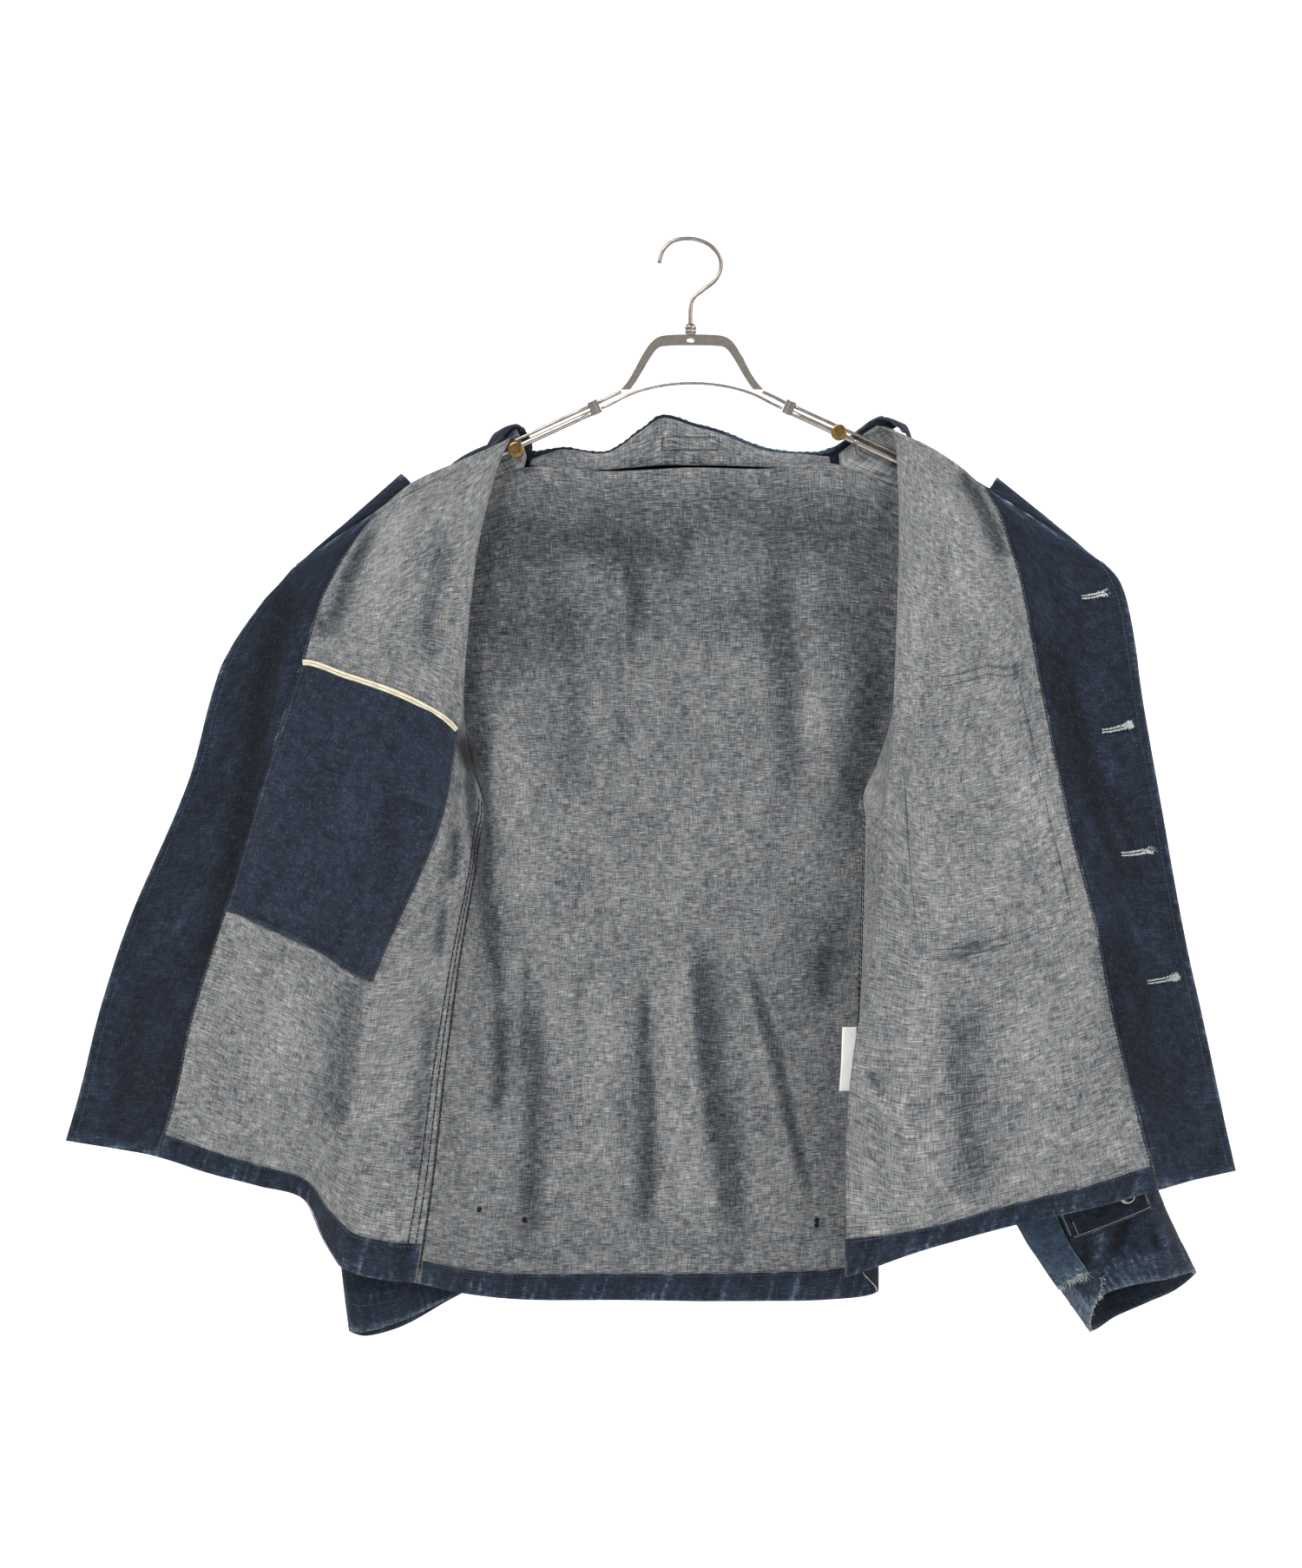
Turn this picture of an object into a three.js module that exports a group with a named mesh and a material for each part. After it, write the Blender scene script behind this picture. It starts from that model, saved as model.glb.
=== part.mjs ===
// An unlined four-button denim work jacket with a worn, mended cuff, hung on a steel hanger whose arms
// pull out. Both fronts are thrown open like doors, so the grey wrong side of the cloth shows.
//
// Millimetres, +Z up, the open side faces -Y. The origin is the top of the hook's inner bend, where a
// rail would carry it. Every outline is given as it is seen square from the front, 3 m away: [x, z, y]
// is the place in the hanger's own plane that the point is seen at, and its real depth y.

import * as THREE from 'three';

// The eye that the outlines are seen from.
const EYE_X = -34;
const EYE_Z = -450;
const EYE_DISTANCE = 3000;

// Cloth: one ply, two plies with their seam allowance, and the gap kept between neighbours.
const WALL = 1.2;
const TWO_PLY = 1.8;
const GAP = 0.35;

// Turned-up edges, as a share of the panel's height.
const HEM_SHARE = 0.036;

// Steel hanger.
const WIRE_RADIUS = 1.8;
const TUBE_RADIUS = 2.5;
const ROD_RADIUS = 1.5;
const STRAP_THICKNESS = 2;
const ARM_LENGTH = 132;
const SCREW_RADIUS = 6.8;
const SCREW_LENGTH = 7;

// Buttons.
const BUTTON_RADIUS = 8.5;
const BUTTON_THICKNESS = 3;

const FRONT_RIGHT_LINES = {
  edge: [
    [-331, -272, -18], [-343, -286, -19], [-356, -300, -20], [-382, -337, -22], [-397, -373, -24],
    [-418, -450, -26], [-465, -560, -28], [-490, -635, -28], [-507, -704, -27], [-519, -746, -26],
  ],
  midFacing: [
    [-297, -248, -19], [-312, -270, -20], [-325, -287, -20], [-343, -324, -22], [-358, -364, -24],
    [-385, -445, -27], [-427, -558, -29], [-451, -639, -29], [-469, -707, -28], [-482, -752, -27],
  ],
  facingSeam: [
    [-261, -224, -20], [-277, -244, -20], [-292, -267, -21], [-309, -301, -22], [-323, -349, -24],
    [-353, -441, -27], [-387, -555, -29], [-414, -641, -29], [-429, -710, -29], [-444, -759, -28],
  ],
  near: [
    [-233, -201, -20], [-246, -225, -20], [-257, -250, -21], [-268, -298, -22], [-286, -360, -24],
    [-318, -452, -26], [-354, -569, -29], [-375, -657, -30], [-388, -725, -30], [-401, -773, -30],
  ],
  half: [
    [-199, -185, -20], [-207, -205, -20], [-214, -231, -21], [-225, -283, -22], [-243, -375, -23],
    [-271, -466, -25], [-313, -587, -28], [-333, -674, -30], [-345, -740, -31], [-358, -784, -32],
  ],
  far: [
    [-169, -172, -18], [-174, -187, -20], [-181, -216, -20], [-192, -275, -20], [-210, -392, -20],
    [-232, -478, -22], [-282, -607, -24], [-299, -689, -26], [-315, -751, -28], [-322, -795, -30],
  ],
  fold: [
    [-149, -162, -6], [-154, -170, -11], [-163, -193, -13], [-180, -268, -14], [-194, -407, -12],
    [-207, -488, -14], [-262, -615, -14], [-279, -697, -14], [-294, -765, -14], [-307, -826, -12],
  ],
  over: [
    [-145, -157, 2], [-153, -162, -4], [-167, -190, -11.5], [-184, -270, -12], [-192, -414, -9],
    [-202, -491, -9.5], [-249, -615, -7], [-266, -696, -6], [-282, -770, -5], [-299, -840, -2],
  ],
  turn: [
    [-138, -186, 9], [-158, -165, 1], [-171, -185, -9], [-188, -272, -9], [-190, -421, -5],
    [-197, -495, -4], [-235, -615, 0], [-253, -694, 2], [-268, -774, 4], [-290, -852, 8],
  ],
  inner: [
    [-192, -208, 9], [-199, -186, 0], [-203, -201, -9], [-210, -283, -9], [-184, -437, 1],
    [-187, -499, 4], [-212, -608, 8], [-228, -691, 12], [-242, -778, 14], [-259, -861, 16],
  ],
  side: [
    [-256, -237, 6], [-254, -245, 0], [-252, -265, -6], [-235, -333, -6], [-177, -452, 8],
    [-178, -502, 11], [-194, -599, 15], [-206, -689, 19], [-216, -778, 21], [-229, -864, 23],
  ],
};

const FRONT_LEFT_LINES = {
  edge: [
    [342, -268, -18], [354, -281, -19], [361, -300, -20], [368, -337, -22], [374, -382, -24],
    [392, -484, -26], [408, -574, -28], [424, -646, -28], [438, -713, -27], [451, -771, -26],
  ],
  midFacing: [
    [294, -237, -19], [308, -261, -20], [319, -287, -21], [328, -337, -22], [336, -387, -24],
    [355, -488, -26], [372, -576, -29], [388, -650, -29], [404, -717, -28], [419, -778, -27],
  ],
  facingSeam: [
    [243, -204, -20], [253, -221, -20], [262, -245, -21], [274, -286, -22], [290, -369, -24],
    [313, -481, -26], [335, -567, -29], [351, -647, -29], [368, -716, -29], [387, -787, -28],
  ],
  near: [
    [224, -188, -20], [231, -207, -20], [238, -234, -21], [247, -290, -22], [258, -385, -24],
    [276, -494, -26], [294, -581, -29], [305, -664, -30], [319, -735, -30], [332, -802, -30],
  ],
  half: [
    [200, -172, -20], [205, -193, -20], [211, -225, -21], [217, -286, -22], [224, -398, -23],
    [234, -500, -25], [247, -596, -28], [253, -679, -29], [258, -754, -29], [269, -816, -30],
  ],
  far: [
    [179, -162, -17], [184, -178, -19], [186, -212, -20], [189, -275, -21], [191, -404, -21],
    [192, -500, -21], [194, -603, -22], [184, -684, -22], [181, -772, -22], [192, -837, -22],
  ],
  fold: [
    [158, -154, -5], [168, -163, -11], [171, -190, -13], [172, -261, -14], [167, -401, -14],
    [161, -484, -14], [151, -592, -14], [135, -675, -12], [129, -751, -10], [130, -859, -8],
  ],
  over: [
    [150, -155, 1], [168, -157, -5], [174, -186, -11.5], [176, -263, -12], [166, -411, -11.5],
    [158, -486, -9], [150, -594, -9], [135, -674, -7], [130, -751, -5], [131, -857, -3],
  ],
  turn: [
    [119, -183, 9], [162, -156, 1], [177, -182, -9], [181, -265, -9], [163, -421, -8],
    [155, -488, -4], [148, -594, -4], [136, -675, -2], [132, -753, 0], [133, -856, 2],
  ],
  inner: [
    [189, -211, 9], [202, -183, 0], [209, -203, -9], [211, -283, -9], [153, -437, 0],
    [148, -486, 4], [144, -594, 5], [138, -674, 7], [136, -754, 9], [138, -854, 10],
  ],
  side: [
    [258, -239, 6], [256, -248, 0], [251, -272, -6], [224, -351, -5], [145, -454, 8],
    [142, -486, 10], [139, -592, 12], [139, -671, 15], [140, -754, 18], [142, -854, 19],
  ],
};

const BACK_LINES = {
  sideRight: [
    [-256, -239, 6], [-251, -270, 9], [-240, -315, 11], [-220, -376, 12], [-177, -452, 11],
    [-178, -502, 14], [-194, -599, 18], [-206, -689, 22], [-216, -778, 24], [-229, -864, 26],
  ],
  b1: [
    [-192, -211, 9], [-192, -243, 12], [-185, -304, 17], [-176, -376, 22], [-162, -452, 28],
    [-163, -502, 31], [-168, -601, 38], [-176, -691, 44], [-181, -781, 48], [-186, -873, 51],
  ],
  b2: [
    [-139, -188, 9], [-133, -225, 14], [-127, -297, 22], [-124, -376, 30], [-117, -452, 38],
    [-119, -500, 43], [-122, -598, 50], [-126, -689, 56], [-129, -781, 61], [-132, -878, 64],
  ],
  b3: [
    [-70, -191, 12], [-68, -229, 18], [-66, -297, 27], [-64, -376, 36], [-61, -452, 45],
    [-61, -499, 50], [-61, -596, 57], [-61, -687, 63], [-61, -779, 68], [-61, -878, 72],
  ],
  b4: [
    [0, -188, 14], [0, -229, 20], [0, -297, 30], [0, -376, 40], [0, -452, 48], [0, -499, 53],
    [0, -596, 60], [0, -686, 66], [0, -776, 71], [0, -879, 75],
  ],
  b5: [
    [60, -189, 13], [63, -230, 19], [67, -297, 28], [64, -376, 37], [60, -452, 46], [60, -497, 50],
    [58, -596, 56], [58, -684, 61], [60, -772, 65], [60, -879, 68],
  ],
  b6: [
    [120, -185, 9], [121, -225, 15], [125, -297, 23], [123, -376, 31], [114, -452, 41],
    [112, -495, 43], [107, -594, 47], [107, -680, 51], [109, -766, 54], [110, -878, 57],
  ],
  b7: [
    [189, -213, 9], [192, -247, 12], [189, -308, 17], [176, -380, 23], [161, -452, 33],
    [155, -491, 34], [150, -594, 35], [151, -675, 37], [153, -759, 38], [153, -872, 39],
  ],
  sideLeft: [
    [258, -241, 6], [254, -274, 9], [243, -320, 11], [212, -385, 12], [145, -454, 11],
    [142, -486, 13], [139, -592, 15], [139, -671, 18], [140, -754, 21], [143, -856, 22],
  ],
};

const COLLAR_FALL = [
  [[-328, -269, -14], [-284, -231, -13], [-241, -193, -12]],
  [[-286, -240, -15], [-257, -216, -14], [-233, -201, -13]],
  [[-246, -213, -15], [-233, -215, -14], [-220, -224, -13]],
  [[-199, -190, -15], [-199, -203, -14], [-198, -225, -13]],
  [[-174, -175, -15], [-178, -190, -14], [-181, -214, -13]],
  [[-158, -163, -11], [-166, -170, -12], [-174, -180, -12]],
  [[-145, -152, -2], [-153, -154, -3], [-162, -159, -3]],
  [[-135, -163, 9], [-146, -169, 11], [-158, -173, 11]],
  [[-132, -174, 17], [-143, -184, 18], [-155, -195, 18]],
  [[-106, -171, 23], [-106, -198, 28], [-107, -232, 28]],
  [[-70, -174, 25], [-70, -201, 30], [-70, -235, 31]],
  [[-41, -155, 27], [-41, -189, 33], [-41, -229, 34]],
  [[-24, -144, 28], [-24, -182, 34], [-23, -225, 35]],
  [[2, -151, 28], [2, -186, 34], [2, -228, 35]],
  [[24, -157, 27], [24, -190, 33], [24, -231, 34]],
  [[60, -171, 25], [60, -200, 31], [60, -235, 33]],
  [[92, -175, 23], [92, -201, 28], [90, -234, 29]],
  [[115, -172, 17], [126, -184, 18], [138, -196, 18]],
  [[135, -159, 10], [143, -165, 12], [153, -170, 12]],
  [[155, -146, -3], [163, -148, -4], [175, -152, -4]],
  [[172, -154, -12], [178, -159, -13], [184, -169, -13]],
  [[186, -168, -14], [188, -183, -14], [192, -203, -13]],
  [[204, -179, -15], [206, -193, -14], [210, -214, -13]],
  [[224, -191, -15], [229, -202, -14], [233, -221, -13]],
  [[272, -222, -15], [261, -211, -14], [247, -205, -13]],
  [[335, -263, -14], [294, -229, -13], [253, -196, -12]],
];

const COLLAR_STAND = [
  [[-135, -186, 10], [-133, -181, 13]],
  [[-106, -191, 13], [-106, -173, 20]],
  [[-70, -190, 14], [-70, -176, 22]],
  [[-41, -188, 15], [-41, -157, 24]],
  [[-24, -187, 16], [-24, -147, 25]],
  [[2, -187, 16], [2, -154, 25]],
  [[24, -187, 16], [24, -160, 24]],
  [[60, -188, 15], [60, -174, 22]],
  [[92, -189, 13], [92, -177, 20]],
  [[115, -184, 10], [114, -179, 13]],
];

const SLEEVE_RIGHT_RINGS = [
  [
    [-257, -237, 6], [-253, -268, -6], [-236, -334, -6], [-209, -404, -1], [-179, -456, 9],
    [-212, -410, 14], [-242, -329, 12], [-254, -274, 9],
  ],
  [
    [-289, -319, 14], [-271, -369, 0], [-239, -419, 0], [-205, -470, 8], [-181, -500, 28],
    [-205, -475, 42], [-243, -423, 42], [-275, -373, 34],
  ],
  [
    [-329, -448, 22], [-307, -488, 6], [-257, -509, 6], [-205, -529, 26], [-166, -545, 50],
    [-207, -533, 68], [-261, -513, 62], [-311, -491, 44],
  ],
  [
    [-333, -592, 30], [-313, -603, 18], [-264, -617, 22], [-210, -628, 38], [-163, -639, 58],
    [-210, -633, 78], [-264, -622, 70], [-313, -608, 52],
  ],
  [
    [-315, -729, 34], [-297, -735, 26], [-253, -745, 30], [-207, -754, 47], [-162, -761, 66],
    [-205, -759, 84], [-253, -751, 74], [-297, -740, 54],
  ],
  [
    [-294, -830, 38], [-280, -837, 32], [-250, -838, 35], [-210, -831, 54], [-169, -823, 70],
    [-208, -831, 86], [-246, -840, 78], [-277, -838, 56],
  ],
  [
    [-284, -904, 40], [-271, -905, 35], [-241, -896, 40], [-205, -879, 59], [-171, -863, 73],
    [-203, -879, 88], [-239, -899, 76], [-270, -908, 52],
  ],
];

const SLEEVE_LEFT_RINGS = [
  [
    [261, -238, 6], [254, -277, -6], [226, -355, -5], [186, -412, -1], [147, -458, 9],
    [189, -414, 13], [223, -373, 12], [253, -281, 9],
  ],
  [
    [294, -319, 12], [272, -362, -2], [236, -416, -2], [195, -463, 4], [171, -495, 18],
    [195, -470, 40], [236, -421, 46], [274, -365, 34],
  ],
  [
    [323, -448, 18], [301, -473, 2], [254, -509, 2], [211, -535, 10], [180, -556, 26],
    [212, -540, 54], [256, -513, 60], [302, -477, 46],
  ],
  [
    [335, -578, 24], [319, -589, 8], [276, -614, 8], [236, -632, 16], [205, -646, 32],
    [238, -637, 60], [277, -619, 66], [319, -594, 50],
  ],
  [
    [355, -693, 28], [339, -704, 12], [305, -725, 12], [269, -740, 20], [240, -751, 36],
    [270, -745, 62], [306, -730, 68], [341, -709, 52],
  ],
  [
    [387, -788, 30], [375, -797, 16], [337, -813, 14], [299, -825, 22], [273, -820, 36],
    [297, -831, 60], [335, -818, 66], [373, -800, 54],
  ],
  [
    [418, -855, 30], [395, -861, 14], [362, -867, 10], [337, -878, 18], [330, -904, 40],
    [351, -892, 62], [380, -879, 66], [404, -868, 54],
  ],
];

// The place of a point seen at (x, z) from the front, at depth y.
function seen([x, z, y]) {
  const spread = 1 + y / EYE_DISTANCE;
  return new THREE.Vector3(EYE_X + (x - EYE_X) * spread, y, EYE_Z + (z - EYE_Z) * spread);
}

// Places along a run of points, from 0 to 1, in step with the mean distance between neighbours.
function stations(rows) {
  const reach = [0];
  for (let i = 1; i < rows[0].length; i += 1) {
    const mean = rows.reduce((sum, row) => sum + row[i].distanceTo(row[i - 1]), 0) / rows.length;
    reach.push(reach[i - 1] + mean);
  }
  return reach.map((r) => r / reach[reach.length - 1]);
}

// A smooth curve through the points, at place t between 0 and 1.
function along(points, places, t) {
  const last = points.length - 1;
  let i = 0;
  while (i < last - 1 && t > places[i + 1]) i += 1;
  const slope = (k) => {
    const a = Math.max(k - 1, 0);
    const b = Math.min(k + 1, last);
    return points[b].clone().sub(points[a]).divideScalar(places[b] - places[a]);
  };
  const span = places[i + 1] - places[i];
  const s = (t - places[i]) / span;
  const s2 = s * s;
  const s3 = s2 * s;
  return points[i].clone().multiplyScalar(2 * s3 - 3 * s2 + 1)
    .addScaledVector(slope(i), (s3 - 2 * s2 + s) * span)
    .addScaledVector(points[i + 1], -2 * s3 + 3 * s2)
    .addScaledVector(slope(i + 1), (s3 - s2) * span);
}

// A surface through a net of lines: u runs from line to line and v runs down each of them.
function surface(lines) {
  const net = lines.map((line) => line.map(seen));
  const across = net[0].map((_, row) => net.map((line) => line[row]));
  const uPlaces = stations(across);
  const vPlaces = stations(net);
  const at = (u, v) => along(net.map((line) => along(line, vPlaces, v)), uPlaces, u);
  return { at, uPlaces, vPlaces };
}

// The same for a tube: rings of points, u goes once round from 0 to 1, v runs down the tube.
function tube(rings) {
  const net = rings.map((ring) => ring.map(seen));
  const count = net[0].length;
  const vPlaces = stations(net[0].map((_, k) => net.map((ring) => ring[k])));
  const round = net.map((ring) => [...ring, ring[0]]);
  const uPlaces = stations(round);
  const wide = [uPlaces[count - 1] - 1, ...uPlaces, 1 + uPlaces[1]];
  const at = (u, v) => {
    const turn = u - Math.floor(u);
    const ring = net[0].map((_, k) => along(net.map((each) => each[k]), vPlaces, v));
    const closed = [ring[count - 1], ...ring, ring[0], ring[1]];
    return along(closed, wide, turn);
  };
  return { at, uPlaces, vPlaces };
}

// Steps between the places of a net, each interval cut into its own number of parts.
function steps(places, cuts) {
  const list = [];
  for (let i = 0; i < places.length - 1; i += 1) {
    const parts = Array.isArray(cuts) ? cuts[i] : cuts;
    for (let k = 0; k < parts; k += 1) {
      list.push(places[i] + ((places[i + 1] - places[i]) * k) / parts);
    }
  }
  list.push(places[places.length - 1]);
  return list;
}

// Evenly spaced steps from a to b.
function even(a, b, parts) {
  return Array.from({ length: parts + 1 }, (_, i) => a + ((b - a) * i) / parts);
}

// Outward direction of the surface at (u, v): the side that u x v leaves by.
function normal(at, u, v, flip, wraps) {
  const e = 0.002;
  const u0 = wraps ? u - e : Math.max(u - e, 0);
  const u1 = wraps ? u + e : Math.min(u + e, 1);
  const v0 = Math.max(v - e, 0);
  const v1 = Math.min(v + e, 1);
  const du = at(u1, v).sub(at(u0, v));
  const dv = at(u, v1).sub(at(u, v0));
  return du.cross(dv).normalize().multiplyScalar(flip ? -1 : 1);
}

// A wall of cloth on the surface. Its middle lies `lift` out from it, and corner(i, j) gives (u, v).
function wall(net, columns, rows, corner, { lift = 0, thickness = WALL, flip = false, wraps = false } = {}) {
  const outer = [];
  const inner = [];
  for (let j = 0; j < rows; j += 1) {
    for (let i = 0; i < columns; i += 1) {
      const [u, v] = corner(i, j);
      const p = net.at(u, v);
      const n = net.outward ? net.outward(u, v) : normal(net.at, u, v, flip, wraps);
      outer.push(p.clone().addScaledVector(n, lift + thickness / 2));
      inner.push(p.clone().addScaledVector(n, lift - thickness / 2));
    }
  }
  const count = columns * rows;
  const index = [];
  const quad = (a, b, c, d) => (flip ? index.push(a, c, b, a, d, c) : index.push(a, b, c, a, c, d));
  const acrossCount = wraps ? columns : columns - 1;
  for (let j = 0; j < rows - 1; j += 1) {
    for (let i = 0; i < acrossCount; i += 1) {
      const a = j * columns + i;
      const b = j * columns + ((i + 1) % columns);
      const c = (j + 1) * columns + ((i + 1) % columns);
      const d = (j + 1) * columns + i;
      quad(a, b, c, d);
      quad(count + b, count + a, count + d, count + c);
    }
  }
  for (let i = 0; i < acrossCount; i += 1) {
    const next = (i + 1) % columns;
    const end = (rows - 1) * columns;
    quad(count + i, count + next, next, i);
    quad(end + i, end + next, count + end + next, count + end + i);
  }
  if (!wraps) {
    for (let j = 0; j < rows - 1; j += 1) {
      const a = j * columns;
      const b = (j + 1) * columns;
      quad(a, b, count + b, count + a);
      quad(count + a + columns - 1, count + b + columns - 1, b + columns - 1, a + columns - 1);
    }
  }
  const geometry = new THREE.BufferGeometry();
  const flat = [...outer, ...inner].flatMap((p) => [p.x, p.y, p.z]);
  geometry.setAttribute('position', new THREE.Float32BufferAttribute(flat, 3));
  geometry.setIndex(index);
  return geometry;
}

// The flat-faced surface that a panel cut at these steps really has, for the pieces that lie on it.
function faced(net, us, vs, flip, wraps = false) {
  const points = vs.map((v) => us.map((u) => net.at(u, v)));
  const normals = vs.map((v) => us.map((u) => normal(net.at, u, v, flip, wraps)));
  const count = us.length;
  const edges = wraps ? [...us, us[0] + 1] : us;
  const cell = (list, t) => {
    let i = 0;
    while (i < list.length - 2 && t > list[i + 1]) i += 1;
    return [i, (t - list[i]) / (list[i + 1] - list[i])];
  };
  const blend = (grid, u, v) => {
    const [i, s] = cell(edges, u);
    const [j, t] = cell(vs, v);
    const next = (i + 1) % count;
    const top = grid[j][i].clone().lerp(grid[j][next], s);
    const low = grid[j + 1][i].clone().lerp(grid[j + 1][next], s);
    return top.lerp(low, t);
  };
  return {
    ...net,
    at: (u, v) => blend(points, u, v),
    outward: (u, v) => blend(normals, u, v).normalize(),
  };
}

// A panel, or a piece on it, whose sides follow the net between given steps.
function piece(net, us, vs, options) {
  return wall(net, us.length, vs.length, (i, j) => [us[i], vs[j]], options);
}

// A patch on a panel between four corners [u, v]: two along its top, then two back along its foot.
function patch(net, corners, columns, rows, options) {
  const [a, b, c, d] = corners;
  const mix = (p, q, t) => p + (q - p) * t;
  const corner = (i, j) => {
    const s = i / (columns - 1);
    const t = j / (rows - 1);
    return [0, 1].map((k) => mix(mix(a[k], b[k], s), mix(d[k], c[k], s), t));
  };
  return wall(net, columns, rows, corner, options);
}

// A round bar along a smooth curve through the points.
function bar(points, radius, parts, sides = 8) {
  const path = new THREE.CatmullRomCurve3(points);
  const section = new THREE.Shape();
  section.absarc(0, 0, radius, 0, Math.PI * 2);
  return new THREE.ExtrudeGeometry(section, {
    steps: parts, extrudePath: path, curveSegments: sides / 2,
  });
}

const jacket = new THREE.Group();
const hanger = new THREE.Group();

const GREY_CLOTH = { color: 0x7d807c, roughness: 0.95, metalness: 0 };
const INDIGO_CLOTH = { color: 0x2c3544, roughness: 0.92, metalness: 0 };
const WORN_CLOTH = { color: 0x44556a, roughness: 0.92, metalness: 0 };
const LABEL_CLOTH = { color: 0xe8e6dc, roughness: 0.8, metalness: 0 };
const STEEL = { color: 0xb9b2aa, roughness: 0.3, metalness: 1 };
const BRASS = { color: 0xa8853f, roughness: 0.35, metalness: 1 };
const HORN = { color: 0x1d2026, roughness: 0.4, metalness: 0 };

function add(group, name, geometry, finish) {
  const mesh = new THREE.Mesh(geometry, new THREE.MeshStandardMaterial({ ...finish, name }));
  mesh.name = name;
  group.add(mesh);
  return mesh;
}

// The list with its two ends drawn in, so a panel stops short of its seam.
function drawnIn(list, first, last) {
  const out = [...list];
  out[0] += first;
  out[out.length - 1] -= last;
  return out;
}

// The list with its last stretch cut again where the hem is turned up.
function withHem(list, share) {
  return [...list.filter((v) => v < 1 - share - 0.008), ...even(1 - share, 1, 2)];
}

// The steps of a list between two places.
function between(list, a, b) {
  return list.filter((t) => t > a - 1e-6 && t < b + 1e-6);
}

// Panels. A front runs from its buttoning edge over the fold and back to the armhole and side seam.
const FRONT_CUTS = [2, 2, 2, 2, 2, 2, 3, 3, 2, 2];
const FRONT_ROW_CUTS = [3, 3, 2, 2, 2, 2, 2, 2, 2];
const frontRight = surface(Object.values(FRONT_RIGHT_LINES));
const frontLeft = surface(Object.values(FRONT_LEFT_LINES));
const back = surface(Object.values(BACK_LINES));

const clothOf = {};
const FRONTS = [['front_right', frontRight, true], ['front_left', frontLeft, false]];
for (const [name, net, flip] of FRONTS) {
  const us = drawnIn(steps(net.uPlaces, FRONT_CUTS), 0, 0.0006);
  const vs = withHem(drawnIn(steps(net.vPlaces, FRONT_ROW_CUTS), 0.0035, 0), HEM_SHARE);
  add(jacket, name, piece(net, us, vs, { flip }), GREY_CLOTH);
  const cloth = faced(net, us, vs, flip);
  clothOf[name] = cloth;

  // The facing lies on the wrong side, from the buttoning edge to its inner seam.
  const side = name.slice(6);
  const facingUs = drawnIn(steps(net.uPlaces.slice(0, 3), 2), 0.001, 0);
  const facingVs = drawnIn(vs, 0, 0.001);
  const onCloth = { lift: WALL + GAP, flip };
  add(jacket, `facing_${side}`, piece(cloth, facingUs, facingVs, onCloth), INDIGO_CLOTH);

  // The turned-up hem runs from the facing to the side seam.
  const hemUs = steps(net.uPlaces.slice(2), FRONT_CUTS.slice(2));
  hemUs[0] += 0.003;
  hemUs[hemUs.length - 1] -= 0.006;
  const hemVs = even(1 - HEM_SHARE, 1, 2);
  add(jacket, `hem_front_${side}`, piece(cloth, hemUs, hemVs, onCloth), INDIGO_CLOTH);
}

const BACK_CUTS = 2;
const backUs = drawnIn(steps(back.uPlaces, BACK_CUTS), 0.0012, 0.003);
const backVs = withHem(steps(back.vPlaces, [2, 2, 2, 2, 2, 2, 2, 2, 2]), HEM_SHARE * 0.93);
add(jacket, 'back', piece(back, backUs, backVs, { flip: true }), GREY_CLOTH);
const backHemUs = drawnIn(steps(back.uPlaces, BACK_CUTS), 0.006, 0.006);
const backCloth = faced(back, backUs, backVs, true);
add(jacket, 'hem_back', piece(backCloth, backHemUs, even(1 - HEM_SHARE * 0.93, 1, 2), {
  lift: WALL + GAP, flip: true,
}), INDIGO_CLOTH);

// Pockets: one inside on the wearer's right, hung from its selvedge, and one outside on the left.
const OUTER_POCKET = [[0.33, 0.315], [0.74, 0.31], [0.655, 0.617], [0.325, 0.617]];
const { uPlaces: rightUs, vPlaces: rightVs } = frontRight;
const pocketUs = between(steps(rightUs, FRONT_CUTS), rightUs[2], rightUs[6]);
const pocketVs = between(steps(rightVs, FRONT_ROW_CUTS), rightVs[4], rightVs[6]);
pocketUs[0] += 0.003;
pocketUs[pocketUs.length - 1] -= 0.012;
add(jacket, 'inner_pocket', piece(clothOf.front_right, pocketUs, pocketVs, {
  lift: WALL + 2 * GAP, flip: true,
}), INDIGO_CLOTH);
add(jacket, 'outer_pocket', patch(clothOf.front_left, OUTER_POCKET, 9, 9, {
  lift: -WALL - 2 * GAP,
}), INDIGO_CLOTH);

// Sleeves with a turned band at each cuff.
const sleeveRight = tube(SLEEVE_RIGHT_RINGS);
const sleeveLeft = tube(SLEEVE_LEFT_RINGS);
for (const [name, net, flip] of [['right', sleeveRight, false], ['left', sleeveLeft, true]]) {
  const us = steps(net.uPlaces, 2).slice(0, -1);
  const vs = withHem(steps(net.vPlaces, 2), 0.035);
  add(jacket, `sleeve_${name}`, piece(net, us, vs, { flip, wraps: true }), INDIGO_CLOTH);
  const cloth = faced(net, us, vs, flip, true);
  clothOf[`sleeve_${name}`] = cloth;
  add(jacket, `cuff_${name}`, piece(cloth, us, even(0.965, 1, 2), {
    lift: WALL + 2 * GAP, flip, wraps: true,
  }), INDIGO_CLOTH);
}

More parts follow.
